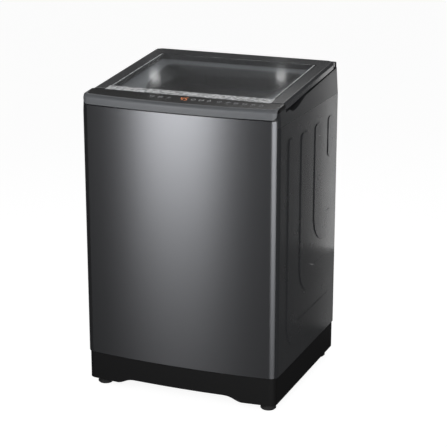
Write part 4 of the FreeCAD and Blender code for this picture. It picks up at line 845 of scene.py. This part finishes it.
class WASHER_OT_key_marks(bpy.types.Operator):
    """Prints the touch keys' marks and lights the display's digits"""

    bl_idname = "washer.key_marks"
    bl_label = "Key marks"

    def execute(self, context):
        detail = context.scene.washer_detail
        low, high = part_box("control_panel")
        backward, lifted = 4 * MM, 0.06 * MM
        point, normal = surface_under(
            "control_panel", 0.0, (low.y + high.y) / 2 + backward)
        lift = normal * lifted
        up = normal.cross(Vector((1, 0, 0)))

        def onto(u0, v0, size):
            """Lays a mark of this half height on the cap, round the point (u0, v0)."""
            def place(u, v):
                return point + lift + Vector((u0 + u * size, 0, 0)) + up * (v0 + v * size)
            return place

        half = detail.key_size / 2
        line = detail.key_line / half

        def marks(shape, keys):
            for u, mark in keys:
                for points in MARKS[mark]:
                    ribbon(shape, points, line, onto(u * MM, MARK_ROW * MM, half))

        def bright(shape):
            marks(shape, MIDDLE_KEYS)

        def faint(shape):
            marks(shape, LEFT_KEYS + RIGHT_KEYS)
            for u, _ in LEFT_KEYS + MIDDLE_KEYS + RIGHT_KEYS:
                for dot in DOT_PLACES:
                    ribbon(shape, [(-0.5, 0), (0.5, 0)], 1.0,
                           onto((u + dot) * MM, DOT_ROW * MM, DOT_SIZE * MM))

        def digits(shape):
            cell = detail.digit_size / 2
            middle, base = 6 * MM, -0.9 * cell
            for number, digit in enumerate(READING):
                left = (number * DIGIT_STEP - (DIGIT_STEP + 1) / 2) * DIGIT_WIDTH * cell
                place = onto(middle + left, base, cell)
                for bar in DIGITS[digit]:
                    (u0, v0), (u1, v1) = BARS[bar]
                    du, dv = (u1 - u0) * BAR_GAP, (v1 - v0) * BAR_GAP
                    ribbon(shape, [((u0 + du) * DIGIT_WIDTH, v0 + dv),
                                   ((u1 - du) * DIGIT_WIDTH, v1 - dv)], BAR_WIDTH, place)

        new_piece("key_marks_bright", bright, "cabinet",
                  screen_ink("pale_screen_ink", "D2D4D6"), smooth=False)
        new_piece("key_marks_faint", faint, "cabinet",
                  screen_ink("dim_screen_ink", "94969A"), smooth=False)
        new_piece("display_digits", digits, "cabinet",
                  lit_diode(context.scene.washer_colours.lamp), smooth=False)
        return {"FINISHED"}


class WASHER_OT_drum(bpy.types.Operator):
    """Builds the perforated drum and finishes what turns with it"""

    bl_idname = "washer.drum"
    bl_label = "Drum"

    def execute(self, context):
        detail = context.scene.washer_detail
        low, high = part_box("basket_wall")
        centre = (low + high) / 2
        radius = (high.x - low.x) / 2

        def build(shape):
            drum_wall(shape, radius, centre, low.z, high.z,
                      detail.hole_pitch, detail.hole_size)

        wall = new_piece("perforated_drum", build, "basket", drum_stainless())
        sheet = wall.modifiers.new("sheet", "SOLIDIFY")
        sheet.thickness = 0.8 * MM
        sheet.offset = 1.0
        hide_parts("basket_wall")
        finish(moulded("light_grey_polypropylene", linear("8F9193"), 0.4, texture=1.4),
               "basket_base", "balance_ring", "lint_filters")
        finish(moulded("grey_abs_wash_plate", linear("7E8184"), 0.28, texture=1.8,
                       depth=0.015), "pulsator")
        finish(cast_aluminium(), "hub_flange")
        finish(bright_steel("stainless_screw_steel"), "pulsator_screw")
        return {"FINISHED"}


class WASHER_OT_wet_parts(bpy.types.Operator):
    """Finishes the tub, the dispenser, the valves and the hoses"""

    bl_idname = "washer.wet_parts"
    bl_label = "Wet parts"

    def execute(self, context):
        finish(moulded("natural_polypropylene", linear("B9BBB8"), 0.5, texture=2.5,
                       depth=0.04, Subsurface_Weight=0.15), "outer_tub")
        finish(moulded("grey_tub_cover", linear("4A4C4E"), 0.4), "tub_cover")
        finish(moulded("dark_dispenser_abs", linear("28292A"), 0.35), "dispenser_housing")
        finish(moulded("dark_drawer_abs", linear("2E2F31"), 0.32), "detergent_drawer")
        finish(moulded("white_valve_nylon", linear("C9C9C4"), 0.45),
               "inlet_valve", "drain_valve")
        finish(rubber("ribbed_hose_rubber", "1C1C1D"),
               "drain_hose", "inlet_hose", "pressure_tube", "shaft_seal")
        black = moulded("black_fitting_plastic", linear("19191A"), 0.45)
        finish(black, "drain_outlet", "air_trap", "pressure_sensor", "cable_gland")
        self.inlet_thread(moulded("white_thread_nylon", linear("C9C9C4"), 0.45))
        self.drain_barbs(black)
        return {"FINISHED"}

    def inlet_thread(self, material):
        """The crest of a 3/4 inch hose thread round the water inlet."""
        pitch, proud = 1.81 * MM, 0.7 * MM
        root, free = 3 * MM, 5 * MM  # left plain at the root, and in all
        centre, radius, length = mount("inlet_thread")
        start = centre - Vector((0, length / 2 - root, 0))

        def crest(shape):
            helix_ridge(shape, start, length - free, radius, pitch, proud)

        new_piece("inlet_thread_crest", crest, "cabinet", material)

    def drain_barbs(self, material):
        """Barbs that hold a hose on the drain spigot."""
        count, first, step, length = 3, 4 * MM, 6 * MM, 5 * MM
        sunk, proud = 0.1 * MM, 0.9 * MM
        middle, radius, _ = mount("drain_spigot")
        profile = [(radius - sunk, 0.0), (radius + proud, 0.0), (radius - sunk, length)]

        def barbs(shape):
            for number in range(count):
                turned_ring(shape, middle + Vector((0, first - step * number, 0)), profile)

        new_piece("drain_spigot_barbs", barbs, "cabinet", material)


class WASHER_OT_drive(bpy.types.Operator):
    """Finishes the motor, the clutch, the belt and its pulleys"""

    bl_idname = "washer.drive"
    bl_label = "Drive"

    def execute(self, context):
        finish(zinc_sheet(), "drive_bracket")
        finish(cast_aluminium(), "clutch_housing", "driven_pulley")
        finish(dipped_laminations(), "motor_body")
        finish(bright_steel("turned_shaft_steel"), "motor_rotor", "drive_shaft")
        finish(rubber("belt_rubber"), "drive_belt", "motor_mounts")
        finish(moulded("grey_actuator_case", linear("6D7073"), 0.45), "drain_actuator")
        finish(moulded("white_capacitor_case", linear("B9BAB6"), 0.4), "run_capacitor")
        return {"FINISHED"}


class WASHER_OT_suspension(bpy.types.Operator):
    """Finishes the rods, seats and cups that carry the tub, and winds their springs"""

    bl_idname = "washer.suspension"
    bl_label = "Suspension"

    def execute(self, context):
        finish(bright_steel("plated_rod_steel"), "suspension_rods")
        finish(moulded("white_acetal", linear("D2D2CE"), 0.35), "rod_seats", "damper_cups")

        def build(shape):
            for bottom, top in quarters("suspension_springs"):
                coil(shape, bottom, top, SPRING_WIRE, SPRING_TURNS)

        springs = new_piece("tub_springs", build, None, spring_steel())
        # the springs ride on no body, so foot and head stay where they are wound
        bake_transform(springs)
        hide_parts("suspension_springs")
        return {"FINISHED"}


class WASHER_OT_screws(bpy.types.Operator):
    """Adds the screws of the back and of its service cover"""

    bl_idname = "washer.screws"
    bl_label = "Screws"

    def execute(self, context):
        size = context.scene.washer_detail.screw_head
        steel = bright_steel("zinc_plated_screws")
        margin, from_end = 8 * MM, 20 * MM
        heights = (0.03, 0.22, 0.42, 0.62, 0.8, 0.97)  # shares of the back's height
        low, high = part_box("back_panel")
        places = [Vector((x, high.y, low.z + share * (high.z - low.z)))
                  for x in (low.x + margin, high.x - margin)
                  for share in heights]
        screws("back_panel_screws", places, steel, size)
        low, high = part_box("rear_service_cover")
        places = [Vector((x, high.y, z)) for x in (low.x + margin, high.x - margin)
                  for z in (low.z + from_end, (low.z + high.z) / 2, high.z - from_end)]
        screws("service_cover_screws", places, steel, size)
        return {"FINISHED"}


class WASHER_OT_stage(bpy.types.Operator):
    """Sets up the floor, the white room, the soft lights and the camera"""

    bl_idname = "washer.stage"
    bl_label = "Studio"

    def execute(self, context):
        studio = context.scene.washer_studio
        self.floor(studio)
        self.room(context, studio)
        self.lights(studio)
        self.camera(context, studio)
        context.scene.view_settings.view_transform = "Standard"
        return {"FINISHED"}

    def floor(self, studio):
        """A grey floor that is seen white; reflections see it at the mirrored level."""
        material, tree, shader = surface("pale_studio_floor", linear("8C8C8C"), 0.8)
        grain(tree, shader, size=30.0, depth=0.02)
        ray, straight = self.straight(tree)
        white = add(tree, "ShaderNodeMath", {
            0: straight.outputs["Value"], 1: studio.floor_glow}, operation="MULTIPLY")
        glow = add(tree, "ShaderNodeEmission", {"Strength": white.outputs["Value"]})
        lit_floor = add(tree, "ShaderNodeAddShader", {
            0: shader.outputs["BSDF"], 1: glow.outputs["Emission"]})
        image = add(tree, "ShaderNodeEmission", {"Strength": studio.mirrored})
        both = add(tree, "ShaderNodeMixShader", {
            "Fac": ray.outputs["Is Glossy Ray"], 1: lit_floor.outputs["Shader"],
            2: image.outputs["Emission"]})
        tree.links.new(both.outputs["Shader"], tree.get_output_node("ALL").inputs["Surface"])

        def build(shape):
            bmesh.ops.create_grid(shape, x_segments=1, y_segments=1, size=FLOOR_REACH)

        floor = new_piece("studio_floor", build, None, material, smooth=False)

    def straight(self, tree):
        """Light path, and a node that is 1 where a thing is seen straight or through glass."""
        ray = add(tree, "ShaderNodeLightPath")
        before_first_bounce = 0.5
        bounces = add(tree, "ShaderNodeMath", {
            0: ray.outputs["Diffuse Depth"], 1: ray.outputs["Glossy Depth"]}, operation="ADD")
        unscattered = add(tree, "ShaderNodeMath", {
            0: bounces.outputs["Value"], 1: before_first_bounce}, operation="LESS_THAN")
        through = add(tree, "ShaderNodeMath", {
            0: ray.outputs["Is Transmission Ray"], 1: unscattered.outputs["Value"]},
            operation="MULTIPLY")
        straight = add(tree, "ShaderNodeMath", {
            0: ray.outputs["Is Camera Ray"], 1: through.outputs["Value"]},
            operation="MAXIMUM")
        return ray, straight

    def room(self, context, studio):
        """Seen white; dimmer in reflections and as the light that fills the shadows."""
        world = bpy.data.worlds.new("white_room")
        context.scene.world = world
        world.use_nodes = True
        tree = world.node_tree
        tree.nodes.clear()
        ray, straight = self.straight(tree)
        other = add(tree, "ShaderNodeMapRange", {
            "Value": ray.outputs["Is Glossy Ray"], "To Min": studio.fill,
            "To Max": studio.mirrored})
        level = add(tree, "ShaderNodeMapRange", {
            "Value": straight.outputs["Value"], "To Min": other.outputs["Result"],
            "To Max": 1.0})
        back = add(tree, "ShaderNodeBackground", {
            "Color": rgba((1, 1, 1)), "Strength": level.outputs["Result"]})
        add(tree, "ShaderNodeOutputWorld", {"Surface": back.outputs["Background"]})

    def lights(self, studio):
        """The key light, whose power a user may change, and the others of the table."""
        self.softbox("tall_front_light", (-0.66, -1.85, 1.0), (0, -0.27, 0.6), 0.62, 1.3,
                     studio.key_power)
        for light in SOFT_LIGHTS:
            self.softbox(*light)

    def softbox(self, name, place, aim, width, height, power):
        """A soft light that the camera doesn't see."""
        light = bpy.data.lights.new(name, "AREA")
        light.shape = "RECTANGLE" if max(width, height) > GLINT_SIZE else "ELLIPSE"
        light.size = width
        light.size_y = height
        light.energy = power
        lamp = bpy.data.objects.new(name, light)
        bpy.context.scene.collection.objects.link(lamp)
        lamp.location = place
        lamp.rotation_mode = "QUATERNION"
        lamp.rotation_quaternion = (Vector(aim) - Vector(place)).to_track_quat("-Z", "Y")
        lamp.visible_camera = False

    def camera(self, context, studio):
        """Looks at the aim from the distance, azimuth and elevation of the settings."""
        low, high = cad_box
        aim = Vector(((low.x + high.x) / 2 + AIM[0], (low.y + high.y) / 2 + AIM[1],
                      low.z + AIM[2]))
        flat = math.cos(studio.elevation)
        back = Vector((math.sin(studio.azimuth) * flat, -math.cos(studio.azimuth) * flat,
                       math.sin(studio.elevation)))
        camera = bpy.data.objects.new("camera", bpy.data.cameras.new("camera"))
        bpy.context.scene.collection.objects.link(camera)
        camera.data.sensor_width = SENSOR
        camera.data.lens = studio.focal
        camera.location = aim + back * studio.distance
        camera.rotation_mode = "QUATERNION"
        camera.rotation_quaternion = (-back).to_track_quat("-Z", "Y")
        camera.data.clip_end = FARTHEST_SEEN
        context.scene.camera = camera


OPERATORS = (
    WASHER_OT_cabinet, WASHER_OT_top, WASHER_OT_lid, WASHER_OT_key_marks, WASHER_OT_drum,
    WASHER_OT_wet_parts, WASHER_OT_drive, WASHER_OT_suspension, WASHER_OT_screws,
    WASHER_OT_stage,
)


class VIEW3D_PT_washer(bpy.types.Panel):
    """Lists the washing machine's pieces and settings"""

    bl_idname = "VIEW3D_PT_washer"
    bl_label = "Washing Machine"
    bl_space_type = "VIEW_3D"
    bl_region_type = "UI"
    bl_category = "Washer"

    def draw(self, context):
        for operator in OPERATORS:
            self.layout.operator(operator.bl_idname)
        for settings in ("washer_colours", "washer_detail", "washer_studio"):
            group = getattr(context.scene, settings)
            box = self.layout.box()
            for name in group.__annotations__:
                box.prop(group, name)


CLASSES = (WasherColours, WasherDetail, WasherStudio, *OPERATORS, VIEW3D_PT_washer)


def register():
    for item in CLASSES:
        bpy.utils.register_class(item)
    bpy.types.Scene.washer_colours = PointerProperty(type=WasherColours)
    bpy.types.Scene.washer_detail = PointerProperty(type=WasherDetail)
    bpy.types.Scene.washer_studio = PointerProperty(type=WasherStudio)


def unregister():
    del bpy.types.Scene.washer_studio
    del bpy.types.Scene.washer_detail
    del bpy.types.Scene.washer_colours
    for item in reversed(CLASSES):
        bpy.utils.unregister_class(item)


def main():
    register()
    for operator in OPERATORS:
        group, name = operator.bl_idname.split(".")
        getattr(getattr(bpy.ops, group), name)()


if __name__ == "__main__":
    main()
